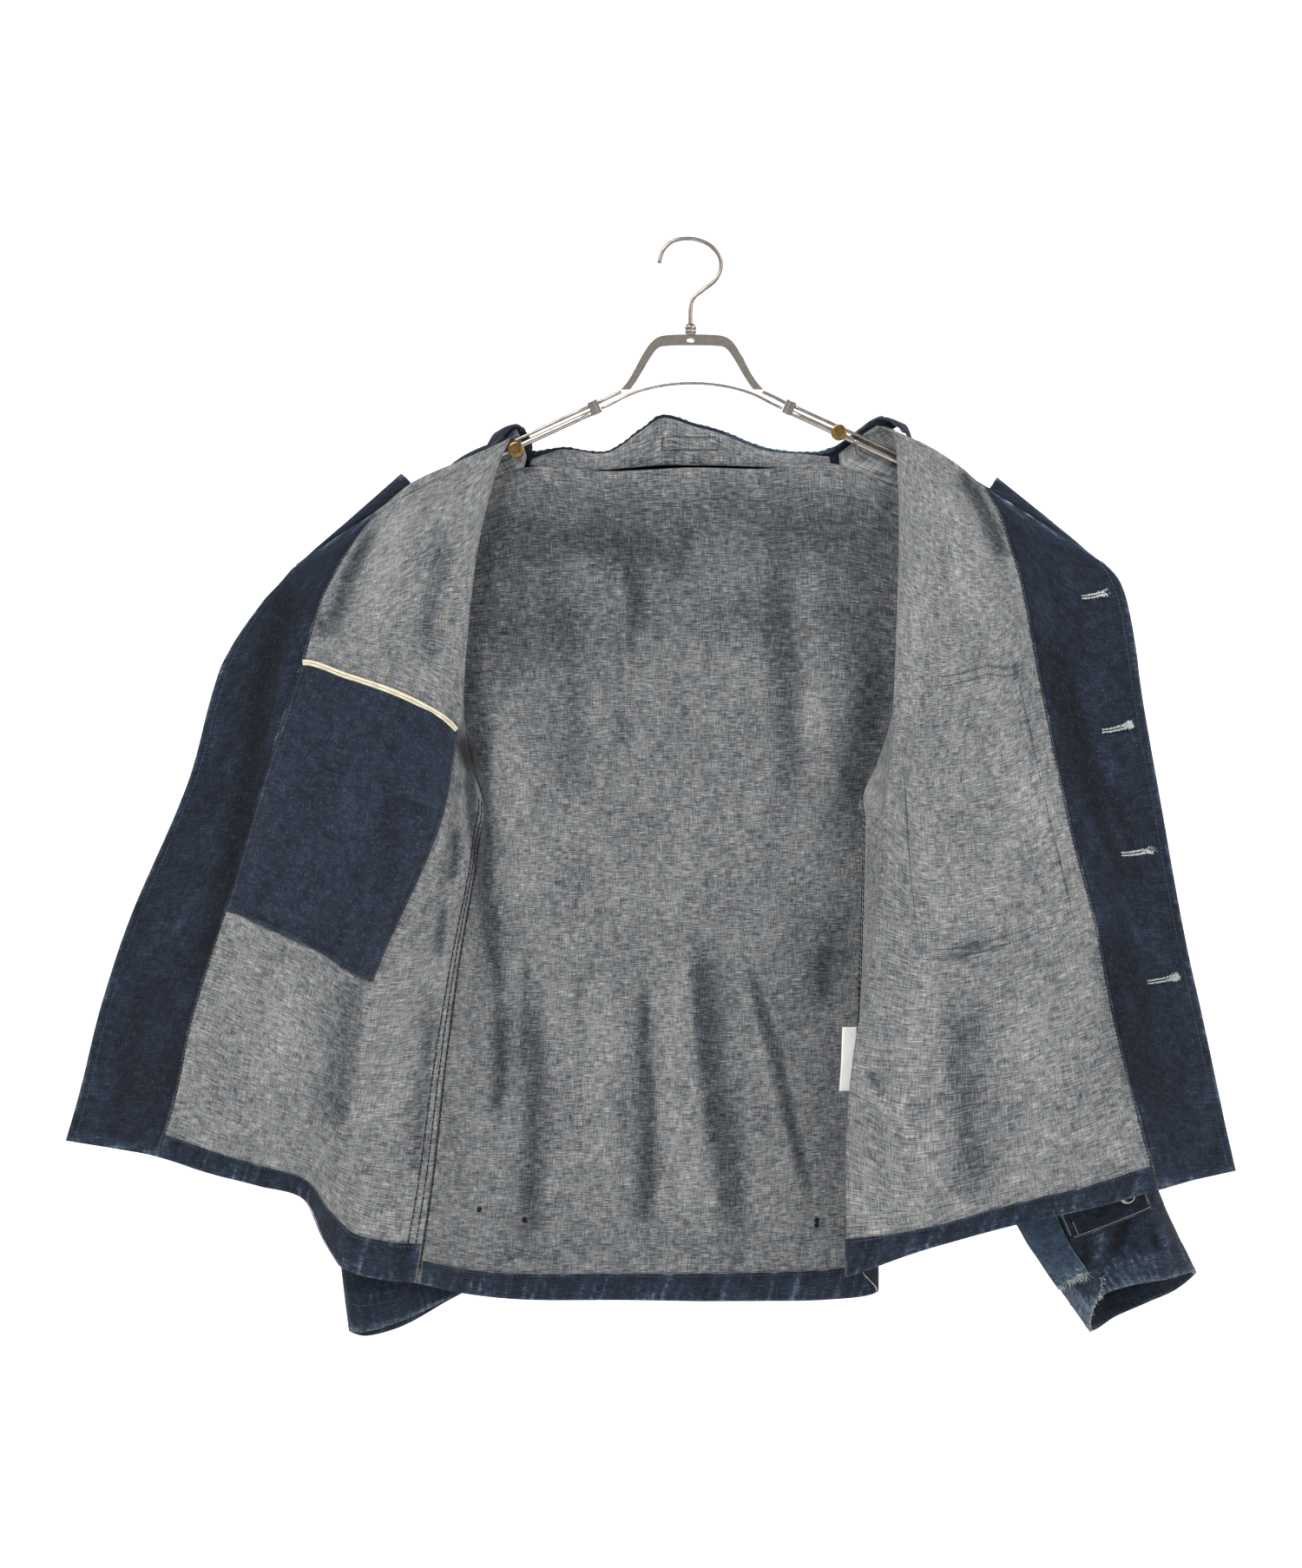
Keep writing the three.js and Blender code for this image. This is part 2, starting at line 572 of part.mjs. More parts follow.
// Collar: a stand that carries on up from the neck seam, and a two-ply fall turned over outside it.
const across = (rows) => rows[0].map((_, k) => rows.map((row) => row[k]));
const standNet = surface(COLLAR_STAND);
const fallNet = surface(COLLAR_FALL);
const NECK_SIDES = [0.23, 0.81];
const nearNeck = (u) => NECK_SIDES.some((n) => Math.abs(u - n) < 0.06);
const FALL_CUTS = fallNet.uPlaces.slice(1).map((u) => (nearNeck(u) ? 2 : 1));
add(jacket, 'collar_stand', piece(standNet, steps(standNet.uPlaces, 2), [0.03, 0.5, 1], {
  flip: true,
}), GREY_CLOTH);
add(jacket, 'collar_fall', piece(fallNet, steps(fallNet.uPlaces, FALL_CUTS), even(0, 1, 4), {
  flip: true, thickness: TWO_PLY,
}), INDIGO_CLOTH);

// Buttons on the outside of the wearer's right front, opposite the four buttonholes.
const BUTTON_PLACES = [[0.07, 0.075], [0.07, 0.3], [0.07, 0.475], [0.07, 0.645]];
const buttonProfile = [
  [0, 0], [BUTTON_RADIUS * 0.7, 0], [BUTTON_RADIUS, 1.1], [BUTTON_RADIUS, 2],
  [BUTTON_RADIUS * 0.86, BUTTON_THICKNESS], [BUTTON_RADIUS * 0.6, 2.2], [0, 2.2],
];
BUTTON_PLACES.forEach(([u, v], k) => {
  const profile = buttonProfile.map(([r, h]) => new THREE.Vector2(r, h));
  const button = add(jacket, `button_${k + 1}`, new THREE.LatheGeometry(profile, 12), HORN);
  const out = clothOf.front_right.outward(u, v).negate();
  button.position.copy(clothOf.front_right.at(u, v)).addScaledVector(out, WALL / 2 + GAP);
  button.quaternion.setFromUnitVectors(new THREE.Vector3(0, 1, 0), out);
});

// A blank care label caught in the wearer's left side seam, just behind the fold.
const CARE_LABEL = [
  [[125, -652, 5], [124, -679, 5], [122, -705, 5]],
  [[131, -652, 7], [129, -679, 7], [128, -705, 7]],
  [[136.8, -652, 9], [136.3, -679, 9], [134.9, -705, 9]],
];
const labelNet = surface(CARE_LABEL);
add(jacket, 'care_label', piece(labelNet, even(0, 1, 3), even(0, 1, 4), {
  thickness: 1, flip: true,
}), LABEL_CLOTH);

// Mends on the wearer's left cuff: a strap with stitched edges, and a patch round the inner edge.
const mended = clothOf.sleeve_left;
const STRAP_US = [0.08, 0.093, 0.167, 0.241, 0.307, 0.325];
const STRAP_VS = [0.82, 0.865, 0.879];
const onOutside = { lift: -WALL - 3 * GAP, flip: true };
add(jacket, 'cuff_strap', piece(mended, STRAP_US, STRAP_VS, onOutside), INDIGO_CLOTH);
const patchUs = [0.338, ...between(steps(sleeveLeft.uPlaces, 2), 0.34, 0.44), 0.462];
const patchVs = [...between(steps(sleeveLeft.vPlaces, 2), 0.78, 0.94), 0.945];
add(jacket, 'cuff_patch', piece(mended, patchUs, patchVs, onOutside), WORN_CLOTH);

// The hanger. Its arms slope down from the clips at either side.
const HOOK_PATH = [
  [-27, -18], [-24, -8], [-15, 0], [0, 1.8], [14, -3], [23, -13], [24, -23], [19, -33],
  [9, -41], [1, -48], [-1, -57], [-1, -68.6],
];
const flatPoint = ([x, z]) => new THREE.Vector3(x, 0, z);
add(hanger, 'hook', bar(HOOK_PATH.map(flatPoint), WIRE_RADIUS, 44, 8), STEEL);

const FERRULE_PROFILE = [[0, -77], [4.4, -77], [4.7, -75], [4.7, -70.5], [3.6, -69], [0, -69]];
const ferrule = add(hanger, 'ferrule', new THREE.LatheGeometry(
  FERRULE_PROFILE.map(([r, h]) => new THREE.Vector2(r, h)), 24,
), STEEL);
ferrule.rotation.x = Math.PI / 2;
ferrule.position.x = -1;

// Strap bent down on both sides, with an oval hole under the ferrule.
const STRAP_OUTER = [
  [0, -77.35], [20, -77.9], [29, -79.6], [36, -86], [43, -97.5], [50, -111], [59.5, -123.4],
];
const STRAP_INNER = [[51, -123.4], [42, -110], [35, -98], [29.5, -90], [24, -87.4], [0, -86.8]];
const mirrored = (list) => list.map(([x, z]) => [-x, z]).reverse();
const strapOutline = new THREE.Shape([
  ...STRAP_OUTER, ...STRAP_INNER,
  ...mirrored(STRAP_INNER).slice(1), ...mirrored(STRAP_OUTER).slice(0, -1),
].map(([x, z]) => new THREE.Vector2(x, z)));
const strapHole = new THREE.Path();
strapHole.absellipse(-1, -82.6, 2.9, 1.5, 0, Math.PI * 2);
strapOutline.holes.push(strapHole);
const strap = add(hanger, 'strap', new THREE.ExtrudeGeometry(strapOutline, {
  depth: STRAP_THICKNESS, bevelEnabled: false, curveSegments: 6,
}), STEEL);
strap.rotation.x = Math.PI / 2;
strap.position.y = STRAP_THICKNESS / 2;

// A thin rod bowed between the two clips.
const BOW_HALF = [[0, -118], [25, -120], [49, -126.3], [68.5, -135.9], [74.7, -138.7]];
const BOW = [...BOW_HALF.map(([x, z]) => [-x, z]).reverse(), ...BOW_HALF.slice(1)];
add(hanger, 'bow_rod', bar(BOW.map(flatPoint), 1.2, 20, 6), STEEL);

const SLOPE = 0.458;
const CLIP_X = 80.5;
const CLIP_Z = -138.4;
const armAngle = Math.atan(SLOPE);
for (const [side, sign, rodLength] of [['right', -1, 85], ['left', 1, 103]]) {
  const onArm = (distance, rise) => new THREE.Vector3(
    sign * (CLIP_X + distance * Math.cos(armAngle) + rise * Math.sin(armAngle)),
    0,
    CLIP_Z - distance * Math.sin(armAngle) + rise * Math.cos(armAngle),
  );
  const arm = new THREE.Group();
  hanger.add(arm);
  const root = [onArm(-25, 3), onArm(-14, 3), onArm(-4.8, 2.6)];
  const rod = [onArm(4.8, 2.9), onArm(40, 2.9), onArm(rodLength, 2.9)];
  const sliding = [onArm(4.8, -2.7), onArm(70, -2.7), onArm(ARM_LENGTH, -2.7)];
  add(arm, `arm_root_${side}`, bar(root, ROD_RADIUS, 4, 8), STEEL);
  add(arm, `arm_rod_${side}`, bar(rod, ROD_RADIUS, 3, 8), STEEL);
  add(arm, `arm_tube_${side}`, bar(sliding, TUBE_RADIUS, 3, 10), STEEL);

  const clip = add(arm, `clip_${side}`, new THREE.BoxGeometry(8.6, 6, 11.5), STEEL);
  clip.position.copy(onArm(0, 0));
  clip.rotation.y = sign * armAngle;
}

// Knurled screws that lock the pulled-out arms, with a small peg beside the one on the left.
for (const [side, x, z] of [['right', -145.5, -174], ['left', 121.7, -159.5]]) {
  const screw = add(hanger, `thumbscrew_${side}`, new THREE.CylinderGeometry(
    SCREW_RADIUS, SCREW_RADIUS, SCREW_LENGTH, 24,
  ), BRASS);
  screw.position.set(x, -2.5 - GAP - SCREW_LENGTH / 2, z);
}
const peg = add(hanger, 'peg', new THREE.CylinderGeometry(2, 2, 9, 10), STEEL);
peg.position.set(136, -4.4, -167.5);
peg.rotation.set(0, 0.35, 0);
peg.rotateX(Math.PI / 2);

export default new THREE.Group().add(jacket, hanger);
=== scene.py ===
"""A patched denim work jacket thrown open on a steel clothes hanger.

Lengths are metres. The cloth's lines are written in millimetres, as [across, up, depth] seen from
the front through the hook's eye, and every panel is a smooth surface through its lines.
"""
import math

import bpy
import numpy as np
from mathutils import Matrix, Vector


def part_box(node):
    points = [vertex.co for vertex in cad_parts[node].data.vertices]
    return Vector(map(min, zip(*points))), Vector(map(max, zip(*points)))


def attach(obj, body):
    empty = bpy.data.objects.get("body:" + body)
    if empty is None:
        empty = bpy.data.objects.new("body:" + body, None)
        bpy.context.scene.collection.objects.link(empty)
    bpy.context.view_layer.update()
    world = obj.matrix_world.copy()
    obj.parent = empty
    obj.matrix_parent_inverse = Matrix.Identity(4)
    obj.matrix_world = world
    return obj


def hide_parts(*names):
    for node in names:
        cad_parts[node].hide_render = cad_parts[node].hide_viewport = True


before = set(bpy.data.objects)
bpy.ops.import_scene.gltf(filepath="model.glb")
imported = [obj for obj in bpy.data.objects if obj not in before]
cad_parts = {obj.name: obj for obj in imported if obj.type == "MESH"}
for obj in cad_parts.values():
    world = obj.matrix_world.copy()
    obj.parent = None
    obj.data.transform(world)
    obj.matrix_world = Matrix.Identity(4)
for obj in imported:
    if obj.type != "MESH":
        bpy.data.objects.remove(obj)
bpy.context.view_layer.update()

# The picture: millimetres on the hanger's plane for each pixel, and the pixel of the hook's rest.
PIXEL = 0.72
REST_X, REST_Y = 797, 277.5
# Where the eye stands: across, up, and how far in front, in millimetres.
EYE_X, EYE_Z, EYE_DISTANCE = -34, -450, 3000

CLOTH = 0.0010
GAP = 0.00035
GRID = 0.0036
ABOVE = 0.0012 + GAP

# Lines of the cloth, from its buttoning edge round the fold to the side seam, each from neck to hem.
FRONT_RIGHT_LINES = {
    "edge": [
        [-331, -272, -18], [-343, -286, -19], [-356, -300, -20], [-382, -337, -22],
        [-397, -373, -24], [-418, -450, -26], [-465, -560, -28], [-490, -635, -28],
        [-507, -704, -27], [-519, -746, -26],
    ],
    "mid_facing": [
        [-297, -248, -19], [-312, -270, -20], [-325, -287, -20], [-343, -324, -22],
        [-358, -364, -24], [-385, -445, -27], [-427, -558, -29], [-451, -639, -29],
        [-469, -707, -28], [-482, -752, -27],
    ],
    "facing_seam": [
        [-261, -224, -20], [-277, -244, -20], [-292, -267, -21], [-309, -301, -22],
        [-323, -349, -24], [-353, -441, -27], [-387, -555, -29], [-414, -641, -29],
        [-429, -710, -29], [-444, -759, -28],
    ],
    "near": [
        [-233, -201, -20], [-246, -225, -20], [-257, -250, -21], [-268, -298, -22],
        [-286, -360, -24], [-318, -452, -26], [-354, -569, -29], [-375, -657, -30],
        [-388, -725, -30], [-401, -773, -30],
    ],
    "half": [
        [-199, -185, -20], [-207, -205, -20], [-214, -231, -21], [-225, -283, -22],
        [-243, -375, -23], [-271, -466, -25], [-313, -587, -28], [-333, -674, -30],
        [-345, -740, -31], [-358, -784, -32],
    ],
    "far": [
        [-169, -172, -18], [-174, -187, -20], [-181, -216, -20], [-192, -275, -20],
        [-210, -392, -20], [-232, -478, -22], [-282, -607, -24], [-299, -689, -26],
        [-315, -751, -28], [-322, -795, -30],
    ],
    "fold": [
        [-149, -162, -6], [-154, -170, -11], [-163, -193, -13], [-180, -268, -14],
        [-194, -407, -12], [-207, -488, -14], [-262, -615, -14], [-279, -697, -14],
        [-294, -765, -14], [-307, -826, -12],
    ],
    "over": [
        [-145, -157, 2], [-153, -162, -4], [-167, -190, -11.5], [-184, -270, -12],
        [-192, -414, -9], [-202, -491, -9.5], [-249, -615, -7], [-266, -696, -6], [-282, -770, -5],
        [-299, -840, -2],
    ],
    "turn": [
        [-138, -186, 9], [-158, -165, 1], [-171, -185, -9], [-188, -272, -9], [-190, -421, -5],
        [-197, -495, -4], [-235, -615, 0], [-253, -694, 2], [-268, -774, 4], [-290, -852, 8],
    ],
    "inner": [
        [-192, -208, 9], [-199, -186, 0], [-203, -201, -9], [-210, -283, -9], [-184, -437, 1],
        [-187, -499, 4], [-212, -608, 8], [-228, -691, 12], [-242, -778, 14], [-259, -861, 16],
    ],
    "side": [
        [-256, -237, 6], [-254, -245, 0], [-252, -265, -6], [-235, -333, -6], [-177, -452, 8],
        [-178, -502, 11], [-194, -599, 15], [-206, -689, 19], [-216, -778, 21], [-229, -864, 23],
    ],
}

FRONT_LEFT_LINES = {
    "edge": [
        [342, -268, -18], [354, -281, -19], [361, -300, -20], [368, -337, -22], [374, -382, -24],
        [392, -484, -26], [408, -574, -28], [424, -646, -28], [438, -713, -27], [451, -771, -26],
    ],
    "mid_facing": [
        [294, -237, -19], [308, -261, -20], [319, -287, -21], [328, -337, -22], [336, -387, -24],
        [355, -488, -26], [372, -576, -29], [388, -650, -29], [404, -717, -28], [419, -778, -27],
    ],
    "facing_seam": [
        [243, -204, -20], [253, -221, -20], [262, -245, -21], [274, -286, -22], [290, -369, -24],
        [313, -481, -26], [335, -567, -29], [351, -647, -29], [368, -716, -29], [387, -787, -28],
    ],
    "near": [
        [224, -188, -20], [231, -207, -20], [238, -234, -21], [247, -290, -22], [258, -385, -24],
        [276, -494, -26], [294, -581, -29], [305, -664, -30], [319, -735, -30], [332, -802, -30],
    ],
    "half": [
        [200, -172, -20], [205, -193, -20], [211, -225, -21], [217, -286, -22], [224, -398, -23],
        [234, -500, -25], [247, -596, -28], [253, -679, -29], [258, -754, -29], [269, -816, -30],
    ],
    "far": [
        [179, -162, -17], [184, -178, -19], [186, -212, -20], [189, -275, -21], [191, -404, -21],
        [192, -500, -21], [194, -603, -22], [184, -684, -22], [181, -772, -22], [192, -837, -22],
    ],
    "fold": [
        [158, -154, -5], [168, -163, -11], [171, -190, -13], [172, -261, -14], [167, -401, -14],
        [161, -484, -14], [151, -592, -14], [135, -675, -12], [129, -751, -10], [130, -859, -8],
    ],
    "over": [
        [150, -155, 1], [168, -157, -5], [174, -186, -11.5], [176, -263, -12], [166, -411, -11.5],
        [158, -486, -9], [150, -594, -9], [135, -674, -7], [130, -751, -5], [131, -857, -3],
    ],
    "turn": [
        [119, -183, 9], [162, -156, 1], [177, -182, -9], [181, -265, -9], [163, -421, -8],
        [155, -488, -4], [148, -594, -4], [136, -675, -2], [132, -753, 0], [133, -856, 2],
    ],
    "inner": [
        [189, -211, 9], [202, -183, 0], [209, -203, -9], [211, -283, -9], [153, -437, 0],
        [148, -486, 4], [144, -594, 5], [138, -674, 7], [136, -754, 9], [138, -854, 10],
    ],
    "side": [
        [258, -239, 6], [256, -248, 0], [251, -272, -6], [224, -351, -5], [145, -454, 8],
        [142, -486, 10], [139, -592, 12], [139, -671, 15], [140, -754, 18], [142, -854, 19],
    ],
}

BACK_LINES = {
    "side_right": [
        [-256, -239, 6], [-251, -270, 9], [-240, -315, 11], [-220, -376, 12], [-177, -452, 11],
        [-178, -502, 14], [-194, -599, 18], [-206, -689, 22], [-216, -778, 24], [-229, -864, 26],
    ],
    "b1": [
        [-192, -211, 9], [-192, -243, 12], [-185, -304, 17], [-176, -376, 22], [-162, -452, 28],
        [-163, -502, 31], [-168, -601, 38], [-176, -691, 44], [-181, -781, 48], [-186, -873, 51],
    ],
    "b2": [
        [-139, -188, 9], [-133, -225, 14], [-127, -297, 22], [-124, -376, 30], [-117, -452, 38],
        [-119, -500, 43], [-122, -598, 50], [-126, -689, 56], [-129, -781, 61], [-132, -878, 64],
    ],
    "b3": [
        [-70, -191, 12], [-68, -229, 18], [-66, -297, 27], [-64, -376, 36], [-61, -452, 45],
        [-61, -499, 50], [-61, -596, 57], [-61, -687, 63], [-61, -779, 68], [-61, -878, 72],
    ],
    "b4": [
        [0, -188, 14], [0, -229, 20], [0, -297, 30], [0, -376, 40], [0, -452, 48], [0, -499, 53],
        [0, -596, 60], [0, -686, 66], [0, -776, 71], [0, -879, 75],
    ],
    "b5": [
        [60, -189, 13], [63, -230, 19], [67, -297, 28], [64, -376, 37], [60, -452, 46],
        [60, -497, 50], [58, -596, 56], [58, -684, 61], [60, -772, 65], [60, -879, 68],
    ],
    "b6": [
        [120, -185, 9], [121, -225, 15], [125, -297, 23], [123, -376, 31], [114, -452, 41],
        [112, -495, 43], [107, -594, 47], [107, -680, 51], [109, -766, 54], [110, -878, 57],
    ],
    "b7": [
        [189, -213, 9], [192, -247, 12], [189, -308, 17], [176, -380, 23], [161, -452, 33],
        [155, -491, 34], [150, -594, 35], [151, -675, 37], [153, -759, 38], [153, -872, 39],
    ],
    "side_left": [
        [258, -241, 6], [254, -274, 9], [243, -320, 11], [212, -385, 12], [145, -454, 11],
        [142, -486, 13], [139, -592, 15], [139, -671, 18], [140, -754, 21], [143, -856, 22],
    ],
}

COLLAR_FALL = [
    [[-328, -269, -14], [-284, -231, -13], [-241, -193, -12]],
    [[-286, -240, -15], [-257, -216, -14], [-233, -201, -13]],
    [[-246, -213, -15], [-233, -215, -14], [-220, -224, -13]],
    [[-199, -190, -15], [-199, -203, -14], [-198, -225, -13]],
    [[-174, -175, -15], [-178, -190, -14], [-181, -214, -13]],
    [[-158, -163, -11], [-166, -170, -12], [-174, -180, -12]],
    [[-145, -152, -2], [-153, -154, -3], [-162, -159, -3]],
    [[-135, -163, 9], [-146, -169, 11], [-158, -173, 11]],
    [[-132, -174, 17], [-143, -184, 18], [-155, -195, 18]],
    [[-106, -171, 23], [-106, -198, 28], [-107, -232, 28]],
    [[-70, -174, 25], [-70, -201, 30], [-70, -235, 31]],
    [[-41, -155, 27], [-41, -189, 33], [-41, -229, 34]],
    [[-24, -144, 28], [-24, -182, 34], [-23, -225, 35]],
    [[2, -151, 28], [2, -186, 34], [2, -228, 35]],
    [[24, -157, 27], [24, -190, 33], [24, -231, 34]],
    [[60, -171, 25], [60, -200, 31], [60, -235, 33]],
    [[92, -175, 23], [92, -201, 28], [90, -234, 29]],
    [[115, -172, 17], [126, -184, 18], [138, -196, 18]],
    [[135, -159, 10], [143, -165, 12], [153, -170, 12]],
    [[155, -146, -3], [163, -148, -4], [175, -152, -4]],
    [[172, -154, -12], [178, -159, -13], [184, -169, -13]],
    [[186, -168, -14], [188, -183, -14], [192, -203, -13]],
    [[204, -179, -15], [206, -193, -14], [210, -214, -13]],
    [[224, -191, -15], [229, -202, -14], [233, -221, -13]],
    [[272, -222, -15], [261, -211, -14], [247, -205, -13]],
    [[335, -263, -14], [294, -229, -13], [253, -196, -12]],
]

COLLAR_STAND = [
    [[-135, -186, 10], [-133, -181, 13]],
    [[-106, -191, 13], [-106, -173, 20]],
    [[-70, -190, 14], [-70, -176, 22]],
    [[-41, -188, 15], [-41, -157, 24]],
    [[-24, -187, 16], [-24, -147, 25]],
    [[2, -187, 16], [2, -154, 25]],
    [[24, -187, 16], [24, -160, 24]],
    [[60, -188, 15], [60, -174, 22]],
    [[92, -189, 13], [92, -177, 20]],
    [[115, -184, 10], [114, -179, 13]],
]

SLEEVE_RIGHT_RINGS = [
    [
        [-257, -237, 6], [-253, -268, -6], [-236, -334, -6], [-209, -404, -1], [-179, -456, 9],
        [-212, -410, 14], [-242, -329, 12], [-254, -274, 9],
    ],
    [
        [-289, -319, 14], [-271, -369, 0], [-239, -419, 0], [-205, -470, 8], [-181, -500, 28],
        [-205, -475, 42], [-243, -423, 42], [-275, -373, 34],
    ],
    [
        [-329, -448, 22], [-307, -488, 6], [-257, -509, 6], [-205, -529, 26], [-166, -545, 50],
        [-207, -533, 68], [-261, -513, 62], [-311, -491, 44],
    ],
    [
        [-333, -592, 30], [-313, -603, 18], [-264, -617, 22], [-210, -628, 38], [-163, -639, 58],
        [-210, -633, 78], [-264, -622, 70], [-313, -608, 52],
    ],
    [
        [-315, -729, 34], [-297, -735, 26], [-253, -745, 30], [-207, -754, 47], [-162, -761, 66],
        [-205, -759, 84], [-253, -751, 74], [-297, -740, 54],
    ],
    [
        [-294, -830, 38], [-280, -837, 32], [-250, -838, 35], [-210, -831, 54], [-169, -823, 70],
        [-208, -831, 86], [-246, -840, 78], [-277, -838, 56],
    ],
    [
        [-284, -904, 40], [-271, -905, 35], [-241, -896, 40], [-205, -879, 59], [-171, -863, 73],
        [-203, -879, 88], [-239, -899, 76], [-270, -908, 52],
    ],
]

SLEEVE_LEFT_RINGS = [
    [
        [261, -238, 6], [254, -277, -6], [226, -355, -5], [186, -412, -1], [147, -458, 9],
        [189, -414, 13], [223, -373, 12], [253, -281, 9],
    ],
    [
        [294, -319, 12], [272, -362, -2], [236, -416, -2], [195, -463, 4], [171, -495, 18],
        [195, -470, 40], [236, -421, 46], [274, -365, 34],
    ],
    [
        [323, -448, 18], [301, -473, 2], [254, -509, 2], [211, -535, 10], [180, -556, 26],
        [212, -540, 54], [256, -513, 60], [302, -477, 46],
    ],
    [
        [335, -578, 24], [319, -589, 8], [276, -614, 8], [236, -632, 16], [205, -646, 32],
        [238, -637, 60], [277, -619, 66], [319, -594, 50],
    ],
    [
        [355, -693, 28], [339, -704, 12], [305, -725, 12], [269, -740, 20], [240, -751, 36],
        [270, -745, 62], [306, -730, 68], [341, -709, 52],
    ],
    [
        [387, -788, 30], [375, -797, 16], [337, -813, 14], [299, -825, 22], [273, -820, 36],
        [297, -831, 60], [335, -818, 66], [373, -800, 54],
    ],
    [
        [418, -855, 30], [395, -861, 14], [362, -867, 10], [337, -878, 18], [330, -904, 40],
        [351, -892, 62], [380, -879, 66], [404, -868, 54],
    ],
]

# ---- Surfaces -------------------------------------------------------------------------------

def seen(points):
    """Real places of points given as [across, up, depth] seen from the eye: each one slides along
    its sight line, so its distance from the eye's axis grows by 1 + depth / eye distance."""
    p = np.asarray(points, float)
    spread = 1 + p[..., 2] / EYE_DISTANCE
    x = EYE_X + (p[..., 0] - EYE_X) * spread
    z = EYE_Z + (p[..., 1] - EYE_Z) * spread
    return np.stack([x, p[..., 2], z], -1) / 1000


def on_picture(points):
    """Pixels of the picture where real places are seen."""
    p = points * 1000
    spread = 1 + p[:, 1] / EYE_DISTANCE
    x = EYE_X + (p[:, 0] - EYE_X) / spread
    z = EYE_Z + (p[:, 2] - EYE_Z) / spread
    return np.stack([REST_X + x / PIXEL, REST_Y - z / PIXEL], -1)


def stations(net):
    """Places from 0 to 1 along the first axis, in step with the mean distance between neighbours."""
    gaps = np.linalg.norm(np.diff(net, axis=0), axis=-1).mean(axis=1)
    reach = np.concatenate([[0], np.cumsum(gaps)])
    return reach / reach[-1]


def along(points, places, t, own):
    """Smooth curve through points at places t: a cubic between neighbours, whose slope at a point is
    that of the line between the points on either side. With own, each t has its own row of points."""
    last = len(places) - 1
    k = np.arange(last + 1)
    low, high = np.maximum(k - 1, 0), np.minimum(k + 1, last)
    run = (places[high] - places[low]).reshape((-1,) + (1,) * (points.ndim - 1))
    slopes = (points[high] - points[low]) / run
    i = np.searchsorted(places[1:last], t, side="left")
    span = places[i + 1] - places[i]
    s = (t - places[i]) / span
    each = np.arange(len(t))

    def at(values, index):
        return values[index, each] if own else values[index]

    shape = (-1,) + (1,) * (points.ndim - 1 - (1 if own else 0))
    s, span = s.reshape(shape), span.reshape(shape)
    s2, s3 = s * s, s * s * s
    return (
        at(points, i) * (2 * s3 - 3 * s2 + 1)
        + at(slopes, i) * (s3 - 2 * s2 + s) * span
        + at(points, i + 1) * (3 * s2 - 2 * s3)
        + at(slopes, i + 1) * (s3 - s2) * span
    )


class Net:
    """A surface through lines of points: u runs from line to line, v down each line. For a tube the
    lines are rings, u goes once round each of them, and v runs from ring to ring."""

    def __init__(self, lines, tube=False):
        net = seen(lines)
        if tube:
            net = net.transpose(1, 0, 2)
        self.tube = tube
        self.v_places = stations(net.transpose(1, 0, 2))
        closed = np.concatenate([net, net[:1]]) if tube else net
        self.u_places = stations(closed)
        self.net = net

    def at(self, u, v):
        lines = along(self.net.transpose(1, 0, 2), self.v_places, v, False)
        lines = lines.transpose(1, 0, 2)
        if not self.tube:
            return along(lines, self.u_places, np.clip(u, 0, 1), True)
        places = self.u_places
        wide = np.concatenate([[places[-2] - 1], places, [1 + places[1]]])
        closed = np.concatenate([lines[-1:], lines, lines[:2]])
        return along(closed, wide, np.mod(u, 1), True)


def polyline_distance(points, path):
    """For each pixel point: its distance to a run of pixels, on which side of it it lies (+1 to the
    right of the direction of travel, seen on the picture), and how far along it, from 0 to 1."""
    path = np.asarray(path, float)
    start, step = path[:-1], np.diff(path, axis=0)
    length = np.linalg.norm(step, axis=1)
    offset = points[:, None] - start
    t = np.clip((offset * step).sum(-1) / length**2, 0, 1)
    away = offset - t[..., None] * step
    distance = np.linalg.norm(away, axis=-1)
    nearest = distance.argmin(1)
    each = np.arange(len(points))
    side = np.sign(step[nearest, 0] * away[each, nearest, 1] - step[nearest, 1] * away[each, nearest, 0])
    before = np.concatenate([[0], np.cumsum(length)])
    reach = (before[nearest] + t[each, nearest] * length[nearest]) / before[-1]
    return distance[each, nearest], side, reach


def crease(points, path, depth, left, right, blunt=0.25):
    """Height in metres of one fold: a bell across its path, `left` and `right` pixels wide on its two
    sides, `depth` millimetres high at its crest, fading out towards both ends."""
    path = np.asarray(path, float)
    reach = 2.6 * max(left, right)
    low, high = path.min(0) - reach, path.max(0) + reach
    near = ((points > low) & (points < high)).all(1)
    height = np.zeros(len(points))
    if not near.any():
        return height
    distance, side, share = polyline_distance(points[near], path)
    width = np.where(side > 0, right, left)
    ends = np.clip(np.minimum(share, 1 - share) / blunt, 0, 1)
    ends = ends * ends * (3 - 2 * ends)
    height[near] = depth / 1000 * np.exp(-((distance / width) ** 2)) * ends
    return height


def pucker(points, path, height, width, pitch):
    """Gathered ripple along a seam: a sine of that pitch along it, fading out across it."""
    path = np.asarray(path, float)
    total = np.linalg.norm(np.diff(path, axis=0), axis=1).sum()
    near = ((points > path.min(0) - 3 * width) & (points < path.max(0) + 3 * width)).all(1)
    ripple = np.zeros(len(points))
    if near.any():
        distance, _, share = polyline_distance(points[near], path)
        phase = 2 * np.pi * share * total / pitch
        wave = np.sin(phase) + 0.6 * np.sin(0.37 * phase + 1.3) + 0.4 * np.sin(1.9 * phase + 2.1)
        ripple[near] = height / 1000 * wave * np.exp(-((distance / width) ** 2))
    return ripple


